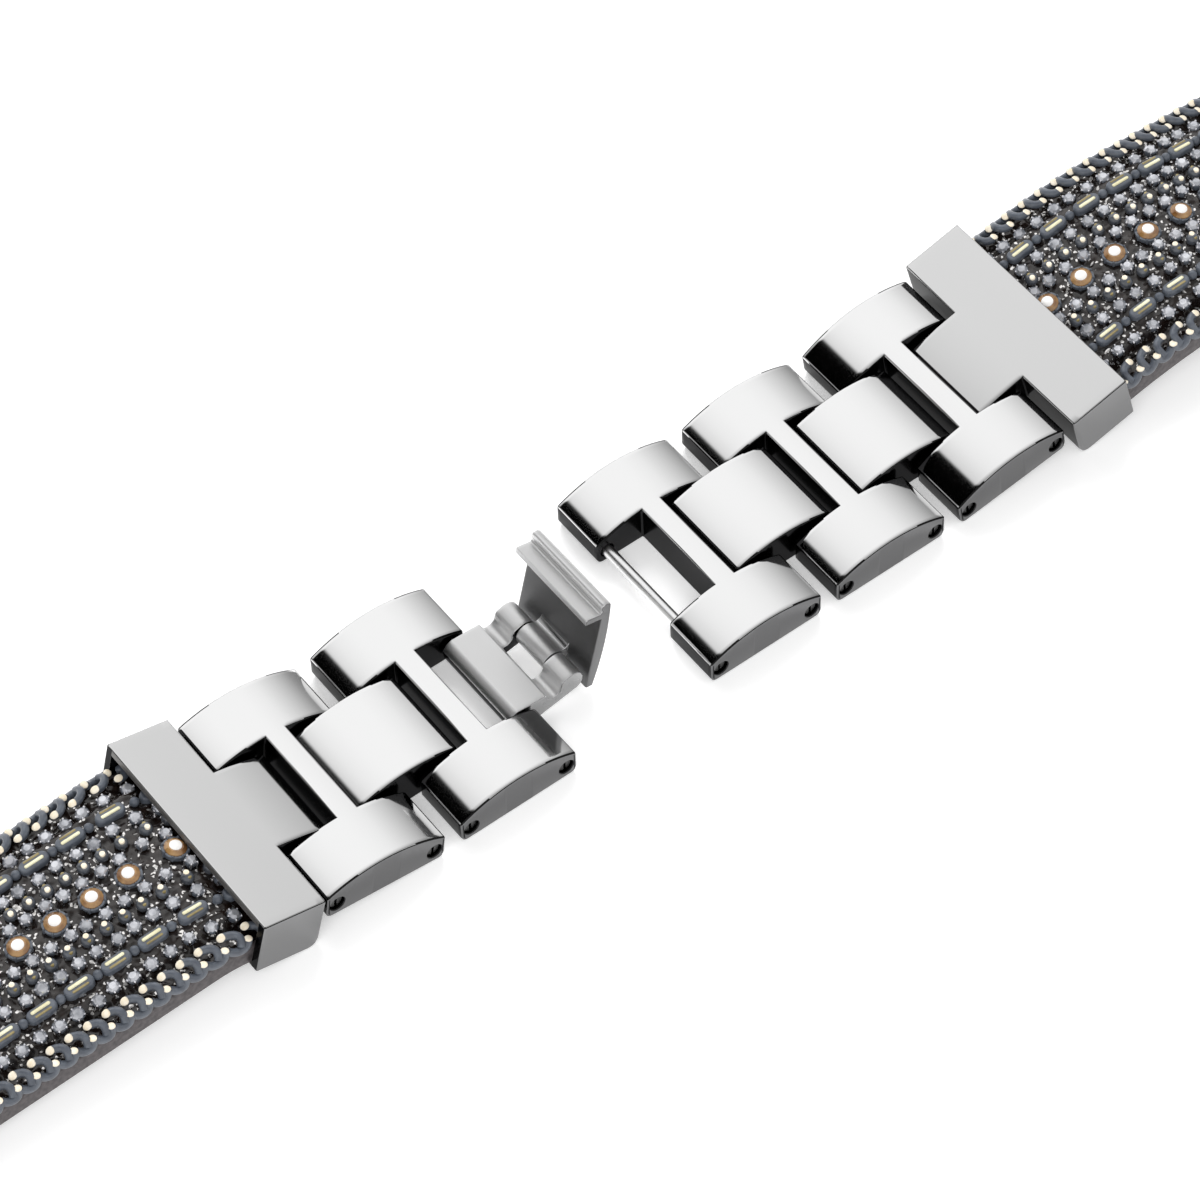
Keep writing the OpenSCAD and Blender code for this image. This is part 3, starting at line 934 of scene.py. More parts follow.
@dataclass(frozen=True)
class GlitterFinish:
    """Dark resin with bright flakes under a clear coat."""

    name: str
    base: Colour
    flake: Colour
    share: float
    scale: float

    SHADE = 0.4
    GRAIN_SIZE = 3
    FLAKE_EDGE = 0.02
    RELIEF = 0.6
    DEPTH = 0.04 * MM
    ROUGHNESS = 0.25
    COAT = 0.6
    COAT_ROUGHNESS = 0.05

    def build(self, groups: SurfaceGroups) -> bpy.types.Material:
        """Makes the material.

        Args:
            groups: the shared node groups.

        Returns:
            The material.
        """
        material, graph, shader = start_material(self.name)
        grain = graph.add("ShaderNodeGroup", node_tree=groups.grain)
        shade = tuple(c * self.SHADE for c in self.base)
        set_inputs(grain, Dark=(*shade, 1.0), Light=(*self.base, 1.0))
        set_inputs(grain, Scale=self.scale / self.GRAIN_SIZE)
        place = graph.add("ShaderNodeTexCoord")
        cells = graph.add("ShaderNodeTexVoronoi")
        cells.inputs["Scale"].default_value = self.scale
        graph.join(place.outputs["Object"], cells.inputs["Vector"])
        luck = graph.add("ShaderNodeSeparateColor")
        graph.join(cells.outputs["Color"], luck.inputs["Color"])
        rare = 1.0 - self.share
        mask = graph.ramp(luck.outputs["Red"], [(rare, 0.0), (rare + self.FLAKE_EDGE, 1.0)])
        graph.join(graph.mix(mask, grain.outputs["Color"], self.flake), shader.inputs["Base Color"])
        graph.join(mask, shader.inputs["Metallic"])
        graph.bump(luck.outputs["Green"], self.RELIEF, self.DEPTH, shader.inputs["Normal"])
        set_inputs(shader, Roughness=self.ROUGHNESS)
        set_inputs(shader, Coat_Weight=self.COAT, Coat_Roughness=self.COAT_ROUGHNESS)
        return material


class Finish(Enum):
    """The finishes of the band, each with the slot of the record that it stands for. Several steels
    are copies of the plain ones that hold painted shade or painted reflection.
    """

    POLISHED = "polished_steel"
    EDGE = "polished_steel.edge"
    SIDE = "polished_steel.side"
    INNER = "polished_steel.inner"
    CAP = "polished_steel.cap"
    LIP = "polished_steel.lip"
    CAP_SIDE = "polished_steel.cap_side"
    SATIN = "satin_steel"
    SATIN_SIDE_PAINTED_SHADE = "satin_steel.side"
    SATIN_PAINTED_SHADE = "satin_steel.dark"
    PIN = "pin_steel"
    PIN_END_PAINTED_SHADE = "pin_steel.end"
    BAR = "pin_steel.bar"
    RUBBER = "strap_rubber"
    BED = "stone_bed"
    ENAMEL = "grey_chain"
    GOLD = "grey_chain.gold"
    PRONG = "grey_chain.prong"
    CRYSTAL = "crystal"
    BEAD = "grey_bead"
    BAGUETTE = "pale_baguette"
    BAGUETTE_SHADE = "pale_baguette.shade"
    BROWN = "brown_stone"
    PEARL = "brown_stone.white"

    @property
    def slot(self) -> str:
        """The record's material slot."""
        return self.value.split(".")[0]


STEELS: dict[Finish, SteelFinish] = {
    Finish.POLISHED: SteelFinish(
        "polished steel", grey(0.80), roughness=0.08, spread=0.03, scale=900.0, stretch=8.0,
        relief=0.10,
    ),
    # Painted dark reflection: near-black steel for the thin bevels beside the tops, standing for
    # the dark lines that those bevels reflect.
    Finish.EDGE: SteelFinish(
        "edge steel with painted dark reflection", grey(0.02), roughness=0.2, spread=0.05, scale=1500.0, stretch=10.0,
        relief=0.1, edge_tint=0.5,
    ),
    # Painted shade: the cap's polished steel, made darker than the links' steel.
    Finish.CAP: SteelFinish(
        "cap steel darkened as painted shade", grey(0.63), roughness=0.10, spread=0.05, scale=900.0, stretch=8.0,
        relief=0.12,
    ),
    # Painted reflection: a dull half-metal grey on the cap's lip, standing for the grey that it
    # reflects.
    Finish.LIP: SteelFinish(
        "mouth lip with painted reflection", (0.15, 0.145, 0.14), roughness=0.34, spread=0.25, scale=1500.0,
        stretch=3.0, relief=0.6, metallic=0.5,
    ),
    # Painted shade: near-black steel for faces within the forks, holes, window and cap, where shade
    # falls.
    Finish.INNER: SteelFinish(
        "shaded inner steel", grey(0.03, 0.001), roughness=0.18, spread=0.08, scale=1500.0,
        stretch=10.0, relief=0.3, edge_tint=0.6,
    ),
    # Painted shade: the links' outer sides, the same steel as their tops made darker, standing for
    # the shaded floor that they reflect.
    Finish.SIDE: SteelFinish(
        "side steel with painted shade", grey(0.15, 0.002), roughness=0.18, spread=0.08, scale=1500.0,
        stretch=10.0, relief=0.3, edge_tint=0.85,
    ),
    # Painted shade: the cap's outer sides, made darker like the links' sides.
    Finish.CAP_SIDE: SteelFinish(
        "cap side steel with painted shade", grey(0.22, 0.002), roughness=0.22, spread=0.08, scale=1500.0,
        stretch=10.0, relief=0.3,
    ),
    Finish.SATIN: SteelFinish(
        "satin steel", grey(0.78), roughness=0.44, spread=0.05, scale=3000.0, stretch=14.0,
        relief=0.12,
    ),
    # Painted shade: the clasp's outer sides, darker copies of its satin steel.
    Finish.SATIN_SIDE_PAINTED_SHADE: SteelFinish(
        "satin side steel with painted shade", grey(0.33, 0.002), roughness=0.28, spread=0.06, scale=3000.0,
        stretch=12.0, relief=0.15,
    ),
    # Painted shade: a darker copy of the satin steel within the cover and where the knuckle meets
    # the plate.
    Finish.SATIN_PAINTED_SHADE: SteelFinish(
        "shaded satin steel", grey(0.17, 0.002), roughness=0.45, spread=0.06, scale=3000.0,
        stretch=12.0, relief=0.15,
    ),
    Finish.PIN: SteelFinish(
        "drawn pin steel", grey(0.16), roughness=0.3, spread=0.08, scale=3000.0, stretch=10.0,
        relief=0.2,
    ),
    # Painted shade: the end faces of the pins and bars, darker than their steel.
    Finish.PIN_END_PAINTED_SHADE: SteelFinish(
        "pin end with painted shade", grey(0.10), roughness=0.35, spread=0.08, scale=3000.0, stretch=2.0,
        relief=0.2, edge_tint=0.8,
    ),
    Finish.BAR: SteelFinish(
        "polished bar steel", grey(0.88), roughness=0.28, spread=0.04, scale=3000.0, stretch=10.0,
        relief=0.1,
    ),
    Finish.PRONG: SteelFinish(
        "bright prong", (0.80, 0.80, 0.84), roughness=0.16, spread=0.05, scale=3000.0, stretch=4.0,
        relief=0.1,
    ),
}

STONES: dict[Finish, GrainFinish] = {
    Finish.RUBBER: GrainFinish(
        "strap rubber", (0.040, 0.034, 0.036), (0.095, 0.082, 0.084), roughness=0.42, scale=2500.0,
        relief=0.5,
    ),
    Finish.ENAMEL: GrainFinish(
        "grey enamel", (0.075, 0.085, 0.105), (0.110, 0.125, 0.150), roughness=0.32, scale=1800.0,
        relief=0.2, coat=0.3,
    ),
    Finish.GOLD: GrainFinish(
        "pale gold", (0.92, 0.80, 0.60), (0.97, 0.90, 0.76), roughness=0.35, scale=3000.0,
        relief=0.2, coat=0.3,
    ),
    Finish.CRYSTAL: GrainFinish(
        "grey crystal", (0.34, 0.35, 0.38), (0.66, 0.67, 0.71), roughness=0.10, scale=1200.0,
        relief=0.0, metallic=0.45, coat=1.0,
    ),
    Finish.BEAD: GrainFinish(
        "grey bead", (0.05, 0.055, 0.065), (0.10, 0.11, 0.13), roughness=0.12, scale=1500.0,
        relief=0.1, coat=1.0,
    ),
    Finish.BAGUETTE: GrainFinish(
        "pale baguette", (0.75, 0.70, 0.42), (0.95, 0.92, 0.66), roughness=0.08, scale=900.0,
        relief=0.0, coat=1.0,
    ),
    Finish.BAGUETTE_SHADE: GrainFinish(
        "old gold", (0.22, 0.17, 0.06), (0.34, 0.27, 0.11), roughness=0.2, scale=900.0, relief=0.0,
        metallic=0.3, coat=1.0,
    ),
    Finish.BROWN: GrainFinish(
        "brown stone", (0.20, 0.09, 0.03), (0.42, 0.24, 0.09), roughness=0.08, scale=1200.0,
        relief=0.0, metallic=0.2, coat=1.0,
    ),
    Finish.PEARL: GrainFinish(
        "white centre", (0.86, 0.84, 0.82), (0.95, 0.94, 0.92), roughness=0.15, scale=900.0,
        relief=0.0, coat=1.0,
    ),
}

GLITTER: dict[Finish, GlitterFinish] = {
    Finish.BED: GlitterFinish(
        "glitter resin", base=(0.013, 0.007, 0.005), flake=(0.90, 0.88, 0.86), share=0.12,
        scale=5200.0,
    ),
}


class Finishes:
    """Every material of the band."""

    def __init__(self) -> None:
        """Builds the shared groups and the materials."""
        groups = SurfaceGroups()
        recipes = {**STEELS, **STONES, **GLITTER}
        self.materials = {finish: recipe.build(groups) for finish, recipe in recipes.items()}

    def dress(
        self, obj: Piece, *finishes: Finish, rule: Optional[Callable[[Face], Finish]] = None
    ) -> Piece:
        """Gives an object its materials.

        Args:
            obj: the object, drawn in its own frame.
            finishes: its finishes, in the order of its material slots.
            rule: says which of them a face has; without it every face has the first.

        Returns:
            The same object.
        """
        obj.data.materials.clear()
        for finish in finishes:
            obj.data.materials.append(self.materials[finish])
        if rule is not None:
            for face in obj.data.polygons:
                face.material_index = finishes.index(rule(face))
        return obj


def settle(obj: Piece, pose: Pose, side: Side, body: str, finish: Finish, *nodes: str) -> None:
    """Sets a piece in place, lets it ride on its body and hides the CAD nodes that it replaces.

    Args:
        obj: the piece, drawn in its left half's own frame.
        pose: the body's pose.
        side: the half that it belongs to.
        body: the body that it rides on.
        finish: not used.
        nodes: the CAD nodes that it stands for.
    """
    if side.mirrored:
        obj.data.transform(Matrix.Scale(-1.0, 4, (1.0, 0.0, 0.0)))
        obj.data.flip_normals()
    obj.data.transform(pose.matrix())
    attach(obj, body)
    if nodes:
        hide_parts(*nodes)
    LOG.info("%s rides on %s", obj.name, body)


@dataclass
class Links:
    """The H links and centre links."""

    skeleton: Skeleton
    finishes: Finishes
    width: float = 18.0 * MM
    length: float = 9.85 * MM
    end_height: float = 2.02 * MM
    arch: float = 10.45 * MM
    corner: float = 0.5 * MM
    crossbar: float = 1.73 * MM
    fork: float = 8.4 * MM
    centre_width: float = 7.76 * MM
    centre_length: float = 8.35 * MM
    centre_end_height: float = 2.49 * MM
    pin_x: float = 4.04 * MM
    hole: float = 0.6 * MM
    hole_flare: float = 0.06 * MM
    bevel: float = 0.15 * MM
    margin: float = 0.4 * MM
    shine: float = 0.94
    slant: float = 0.86

    # The top's steel, a painted dark reflection on bevels, painted shade on the outer sides and a
    # darker painted shade within.
    LOOKS = (Finish.POLISHED, Finish.EDGE, Finish.SIDE, Finish.INNER)

    def _stations(
        self, length: float, end_height: float, extra: Iterable[float] = ()
    ) -> list[Station]:
        """Finds the stations of an arched link.

        Args:
            length: the link's length.
            end_height: the height of its end faces.
            extra: places that need a station of their own.

        Returns:
            The stations along X.
        """
        half = length / 2
        foot = half - self.corner
        low = end_height - chord(self.arch, half)
        return [
            Station(x, low + chord(self.arch, x), rounding(self.corner, abs(x) - foot))
            for x in stretches((-half, -foot, foot, half, *extra), self.bevel * BEVEL_ROOM)
        ]

    def h_link(self, name: str) -> Piece:
        """Makes a link with a fork at each end.

        Args:
            name: its name.

        Returns:
            The link.
        """
        bar, gap, edge = self.crossbar / 2, self.fork / 2, self.width / 2
        link = slab(
            name,
            self._stations(self.length, self.end_height, (-bar, bar)),
            either_way(0.0, gap, gap + self.margin, edge - self.margin, edge),
            lambda x, y: abs(y) > gap or abs(x) < bar,
            self.bevel,
        )
        pin = self.skeleton.PIN_HEIGHT
        holes = [Hole(flip * self.pin_x, pin, self.hole, self.hole_flare) for flip in FLIPS]
        return smooth(cut(link, [hole.tool(self.width) for hole in holes]))

    def centre_link(self, name: str) -> Piece:
        """Makes a link that turns in two forks.

        Args:
            name: its name.

        Returns:
            The link.
        """
        edge = self.centre_width / 2
        stations = self._stations(self.centre_length, self.centre_end_height)
        lines = either_way(0.0, edge - self.margin, edge)
        return smooth(slab(name, stations, lines, lambda x, y: True, self.bevel))

    def _look(self, face: Face) -> Finish:
        """Tells the top, its bevels with a painted dark reflection, the outer sides with painted
        shade and what lies within, with a darker painted shade, apart.

        Args:
            face: a face of a link.

        Returns:
            Its finish.
        """
        normal, centre = face.normal, face.center
        along = abs(normal.y) < HARDLY
        pin = self.skeleton.PIN_HEIGHT
        # Painted shade inside the pin holes.
        if math.hypot(abs(centre.x) - self.pin_x, centre.z - pin) < self.hole + self.hole_flare:
            return Finish.INNER
        if normal.z > (self.slant if along else self.shine):
            return Finish.POLISHED
        # Side bevels get a painted dark reflection; end bevels facing -X stay polished and those
        # facing +X get the sides' painted shade.
        if normal.z > HALFWAY:
            if not along:
                return Finish.EDGE
            return Finish.POLISHED if normal.x < 0 else Finish.SIDE
        # Outer sides get painted shade, and faces within the forks a darker painted shade.
        outer = abs(centre.y) > self.width / 2 - self.bevel / 2
        return Finish.SIDE if outer and abs(normal.y) > HALFWAY else Finish.INNER

    def build(self) -> None:
        """Makes every link and sets it in place."""
        for node, pose in self.skeleton.links().items():
            is_centre = node.startswith("centre")
            make = self.centre_link if is_centre else self.h_link
            link = self.finishes.dress(make(f"steel_{node}"), *self.LOOKS, rule=self._look)
            body = node if is_centre else node.removeprefix("h_")
            settle(link, pose, Side.LEFT, body, Finish.POLISHED, node)


@dataclass
class EndCap:
    """A T-shaped end cap, drawn about its pin."""

    skeleton: Skeleton
    finishes: Finishes
    side: Side
    width: float = 19.0 * MM
    length: float = 5.05 * MM
    face: float = 1.55 * MM
    top: float = 1.6 * MM
    drop: float = 2.85 * MM
    edge: float = 0.8 * MM
    tongue_width: float = 7.76 * MM
    reach: float = 2.6 * MM
    fall: float = 0.3 * MM
    corner: float = 0.5 * MM
    bevel: float = 0.14 * MM
    margin: float = 0.4 * MM
    pocket: float = 2.4 * MM
    mouth_width: float = 17.64 * MM
    mouth_low: float = 0.23 * MM
    mouth_height: float = 3.70 * MM
    lip: float = 0.01 * MM
    shine: float = 0.94

    TONGUE_STEPS = 28
    EDGE_TURNS = (0, 18, 36, 54, 90)
    PAST = MM
    FORWARD = 0.9
    # The darker top steel, the bevels' painted dark reflection, the ends' painted shade, the darker
    # painted shade within, and the lip's painted reflection.
    LOOKS = (Finish.CAP, Finish.EDGE, Finish.CAP_SIDE, Finish.INNER, Finish.LIP)

    @property
    def mouth(self) -> float:
        """Where the mouth is, seen from the pin."""
        return -(self.face + self.length)

    def _stations(self) -> list[Station]:
        """Finds the stations from the mouth to the tongue's tip.

        Returns:
            The stations along X.
        """
        places = (self.mouth, (self.mouth - self.face) / 2)
        stations = [Station(x, self.top, -self.drop) for x in places]
        for turn in map(math.radians, self.EDGE_TURNS):
            x = -self.face - self.edge + self.edge * math.sin(turn)
            stations.append(Station(x, self.top, -self.drop + self.edge * (1 - math.cos(turn))))
        pin = self.skeleton.PIN_HEIGHT
        stations.append(Station(-self.face, self.top, -pin))
        long = self.reach + self.face
        radius = (long**2 + self.fall**2) / (2 * self.fall)
        for k in range(1, self.TONGUE_STEPS + 1):
            along = long * k / self.TONGUE_STEPS
            x = along - self.face
            low = rounding(self.corner, x - (self.reach - self.corner))
            stations.append(Station(x, self.top - radius + chord(radius, along), low - pin))
        return stations

    def _look(self, face: Face) -> Finish:
        """Tells the top with its painted shade, the lip with its painted reflection, the side
        bevels with a painted dark reflection, the ends with painted shade and what lies within,
        with a darker painted shade, apart.

        Args:
            face: a face of the cap.

        Returns:
            Its finish.
        """
        normal, centre = face.normal, face.center
        # The top keeps the cap's darkened steel, which is painted shade.
        if normal.z > self.shine:
            return Finish.CAP
        # The lip gets its painted reflection; the mouth's ends beside it a darker painted shade.
        if normal.x < -self.FORWARD and centre.x < self.mouth + self.bevel:
            return Finish.LIP if abs(centre.y) < self.mouth_width / 2 else Finish.INNER
        # Side bevels get a painted dark reflection.
        if normal.z > HALFWAY:
            return Finish.EDGE if abs(normal.y) > HARDLY else Finish.CAP
        # Outer sides get painted shade, and faces within a darker painted shade.
        outer = abs(centre.y) > self.width / 2 - self.bevel
        return Finish.CAP_SIDE if outer else Finish.INNER

    def build(self) -> None:
        """Makes the cap and sets it in place."""
        tongue, half, name = self.tongue_width / 2, self.mouth_width / 2, self.side.value
        cap = slab(
            f"{name}_steel_cap",
            self._stations(),
            either_way(tongue - self.margin, tongue, half + self.lip, self.width / 2),
            lambda x, y: abs(y) < tongue or x < -self.face,
            self.bevel,
        )
        low = self.mouth_low - self.drop
        near = (self.mouth - self.PAST, -half, low)
        far = (self.mouth + self.pocket, half, low + self.mouth_height)
        smooth(cut(cap, [block(near, far)]))
        self.finishes.dress(cap, *self.LOOKS, rule=self._look)
        pose = self.skeleton.cap(self.side)
        settle(cap, pose, self.side, f"{name}_strap", Finish.POLISHED, f"{name}_end_cap")


@dataclass
class StrapPath:
    """The way that a strap's underside runs in its cap's frame.

    It bends at the cap's mouth, which is given by (x, z), and then runs straight on.
    """

    side: Side
    bend_radius: float
    mouth: Pair = (-6.6 * MM, -2.6 * MM)
    length: float = 44.0 * MM
    barrel: float = 1.75 * MM
    turn: float = field(init=False)

    FIRST_SLOPE = 0.1
    ROUNDS = 30

    def solve(self, skeleton: Skeleton, floor: float) -> "StrapPath":
        """Finds the whole turn of the path, which brings the watch end down to the floor.

        Args:
            skeleton: the places of the bodies.
            floor: the height at which the links lie.

        Returns:
            The path itself.
        """
        tilt = skeleton.CAP_TILTS[self.side]
        pin = skeleton.hinges[f"{self.side.value}_cap_hinge"].z - floor
        height = pin - self.mouth[0] * math.sin(tilt) + self.mouth[1] * math.cos(tilt)
        fall = height + self.bend_radius * (1 - math.cos(tilt))
        slope = self.FIRST_SLOPE
        for _ in range(self.ROUNDS):
            straight = self.length - self.bend_radius * (tilt + slope)
            rest = fall - (self.bend_radius + self.barrel) * (1 - math.cos(slope))
            slope = math.asin(rest / straight)
        self.turn = tilt + slope
        return self

    def at(self, s: float, h: float) -> Point:
        """Finds the place and the turn of the path.

        Args:
            s: the distance from the mouth.
            h: the height above the underside.

        Returns:
            X, Z and the angle that the path has turned down.
        """
        angle = min(max(s, 0.0) / self.bend_radius, self.turn)
        past = max(s - self.bend_radius * self.turn, 0.0)
        before = min(s, 0.0)
        radius = self.bend_radius + h
        x = self.mouth[0] - radius * math.sin(angle) - past * math.cos(angle) - before
        z = self.mouth[1] - self.bend_radius + radius * math.cos(angle) - past * math.sin(angle)
        return x, z, angle

    def put(self, s: float, y: float, h: float) -> Vector:
        """Returns the point at a distance along, a distance across and a height."""
        x, z, _ = self.at(s, h)
        return Vector((x, y, z))

    def matrix(self, s: float, y: float, h: float) -> Matrix:
        """Returns the matrix that sets a stone there, its local +X towards the cap."""
        x, z, angle = self.at(s, h)
        return Matrix.Translation((x, y, z)) @ Matrix.Rotation(-angle, 4, "Y")


@dataclass
class StrapPart:
    """What the strap and its stones share, drawn in the cap's frame."""

    skeleton: Skeleton
    finishes: Finishes
    side: Side
    path: StrapPath
    low_bed: float = 1.72 * MM
    high_bed: float = 2.7 * MM
    crown: float = 0.25 * MM
    slope: Pair = (5.9 * MM, 7.1 * MM)
    inside: float = 2.2 * MM
    margin: float = 1.0 * MM
    chain_pitch: float = 1.48 * MM

    def _bed_top(self, y: float) -> float:
        """Finds the height of the bed's top.

        Args:
            y: the distance from the middle line.

        Returns:
            The height above the strap's underside.
        """
        start, end = self.slope
        share = ease(min(max((end - abs(y)) / (end - start), 0.0), 1.0))
        top = self.low_bed + (self.high_bed - self.low_bed) * share
        return top + self.crown * max(1 - (y / end) ** 2, 0.0)

    def _piece(
        self,
        shape: Shape,
        name: str,
        finish: Finish,
        sharp_above: float,
        *nodes: str,
        slot: Optional[Finish] = None,
        merged: bool = False,
    ) -> None:
        """Dresses a piece and sets it in place.

        Args:
            shape: its mesh.
            name: its name without the side.
            finish: its finish.
            sharp_above: the least angle of a sharp edge, in degrees.
            nodes: the CAD nodes that it stands for, without the side.
            slot: a finish passed on to settle() in place of its own.
            merged: whether points of its mesh that touch become one.
        """
        half = self.side.value
        piece = smooth(shape.finish(f"{half}_{name}", merged), sharp_above)
        self.finishes.dress(piece, finish)
        pose = self.skeleton.cap(self.side)
        stands_for = [f"{half}_{node}" for node in nodes]
        settle(piece, pose, self.side, f"{half}_strap", slot or finish, *stands_for)


@dataclass
class Strap(StrapPart):
    """A strap with its stone bed and edge chains.

    The chain's curves are given by (distance along, distance across, height) in millimetres, for a
    ring whose inner tip lies at the mouth.
    """

    width: float = 17.6 * MM
    thickness: float = 1.8 * MM
    rim: float = 0.4 * MM
    rim_edge: float = 0.05 * MM
    edge: float = 0.18 * MM
    recess: float = 1.2 * MM
    pocket: float = 2.38 * MM
    bend_start: float = 0.01 * MM
    bore: float = 0.92 * MM
    bore_edge: float = 0.1 * MM
    end_edge: float = 0.2 * MM
    end_inset: float = 0.006 * MM
    bed_lift: float = 0.05 * MM
    bed_sink: float = 0.04 * MM
    lumps: tuple[Pair, ...] = ((900.0, 0.13 * MM), (2300.0, 0.12 * MM))
    chain_start: float = 0.07 * MM
    chain_count: int = 27
    tube: float = 0.3 * MM
    inner_curve: tuple[Point, ...] = (
        (0.0, 7.60, 2.62), (-0.45, 7.48, 2.22), (-1.15, 8.00, 2.95), (-0.75, 8.66, 2.10)
    )
    outer_curve: tuple[Point, ...] = (
        (0.23, 8.50, 2.45), (0.26, 8.84, 1.65), (1.23, 8.75, 1.75), (1.53, 8.50, 2.15)
    )
    tip_out: float = 0.7
    tip_way: Point = (-0.12, -0.15, 0.80)
    tip_lift: float = 0.03 * MM
    tip_dome: tuple[Pair, ...] = ((0.97, -1.0), (0.97, 0.3), (0.86, 1.3), (0.45, 1.9))

    BODY_STEPS = 60
    END_SIDES = 48
    BED_ALONG = 290
    BED_ACROSS = 116
    CURVE_STEPS = 14
    TUBE_SIDES = 16
    BODY_SHARP = 50.0
    BED_SHARP = 60.0
    CHAIN_SHARP = 60.0

    def body(self) -> None:
        """Makes the plain body with its rims."""
        half, top, wall = self.width / 2, self.thickness, self.width / 2 - self.rim
        right = [
            (half - self.edge, 0.0), (half, self.edge), (half, top - self.edge),
            (half - self.edge, top), (wall + self.rim_edge, top), (wall, top - self.rim_edge),
            (wall, self.recess),
        ]
        left = [(-y, h) for y, h in right]
        # The section runs right round, from the left end of the underside.
        section = left[:1] + right + left[:0:-1]
        last = self.path.length - self.path.barrel
        stops = [-self.pocket, -self.bend_start]
        stops += [last * k / self.BODY_STEPS for k in range(self.BODY_STEPS + 1)]
        shape = Shape()
        shape.rings([[self.path.put(s, y, h) for y, h in section] for s in stops])
        self._piece(shape, "strap_body", Finish.RUBBER, self.BODY_SHARP, "strap")

    def watch_end(self) -> None:
        """Makes the round end that holds the spring bar."""
        half, radius, edge = self.width / 2, self.path.barrel - self.end_inset, self.end_edge
        near = [
            (-half + edge, self.bore), (-half, self.bore + self.bore_edge),
            (-half, radius - edge), (-half + edge, radius),
        ]
        place = self.path.matrix(self.path.length, 0.0, radius)
        rings = [
            [place @ Vector((r * math.cos(a), y, r * math.sin(a))) for a in turns(self.END_SIDES)]
            for y, r in near + [(-y, r) for y, r in reversed(near)]
        ]
        shape = Shape()
        shape.rings(rings + rings[:1], capped=False)
        self._piece(shape, "strap_loop", Finish.RUBBER, self.BODY_SHARP, merged=True)

    def _lump(self, s: float, y: float) -> float:
        """Finds how uneven the bed is at a place.

        Args:
            s: the distance from the mouth.
            y: the distance from the middle line.

        Returns:
            How much higher the bed is there.
        """
        spot = Vector((s, y, 0.0))
        return sum(noise.noise(spot * often) * height for often, height in self.lumps)

    def bed(self) -> None:
        """Makes the uneven resin bed that the stones sit in."""
        half, under = self.width / 2 - self.rim, self.recess + self.bed_lift
        last = self.path.length - self.path.barrel - self.margin / 2
        across = [-half + 2 * half * j / self.BED_ACROSS for j in range(self.BED_ACROSS + 1)]
        rows = []
        for i in range(self.BED_ALONG + 1):
            s = -self.inside + (last + self.inside) * i / self.BED_ALONG
            row = [
                self.path.put(s, y, self._bed_top(y) + self._lump(s, y) - self.bed_sink)
                for y in across
            ]
            rows.append([self.path.put(s, -half, under), *row, self.path.put(s, half, under)])
        shape = Shape()
        shape.rings(rows)
        self._piece(shape, "resin_bed", Finish.BED, self.BED_SHARP, "stone_bed")

    def _tip(self, tips: Shape, ring: Sequence[Vector], face: Vector) -> None:
        """Adds the domed gold tip on a tube's cut end.

        Args:
            tips: the mesh that it goes into.
            ring: the points of the cut.
            face: the way that the cut faces.
        """
        middle = sum(ring, Vector()) / len(ring)
        tips.rings([
            [middle + (p - middle) * share + face * self.tip_lift * height for p in ring]
            for share, height in self.tip_dome
        ])

    def chains(self) -> None:
        """Makes the interlinked arcs along both edges, with their pale gold cut tips."""
        arcs, tips = Shape(), Shape()
        curves = [cubic(c, self.CURVE_STEPS) for c in (self.inner_curve, self.outer_curve)]
        for i in range(self.chain_count):
            s = self.chain_start + i * self.chain_pitch
            for flip in FLIPS:
                for curve in curves:
                    path = [
                        self.path.put(s + p.x * MM, flip * p.y * MM, p.z * MM) for p in curve
                    ]
                    out = (path[0] - path[1]).normalized()
                    face = (self.tip_out * out + Vector(self.tip_way)).normalized()
                    ring = arcs.tube(path, self.tube, self.TUBE_SIDES, face)
                    self._tip(tips, ring, face)
        self._piece(arcs, "chain_arcs", Finish.ENAMEL, self.CHAIN_SHARP, "edge_chains")
        self._piece(tips, "chain_tips", Finish.GOLD, self.CHAIN_SHARP)

    def build(self) -> None:
        """Makes the strap's own pieces."""
        self.body()
        self.watch_end()
        self.bed()
        self.chains()


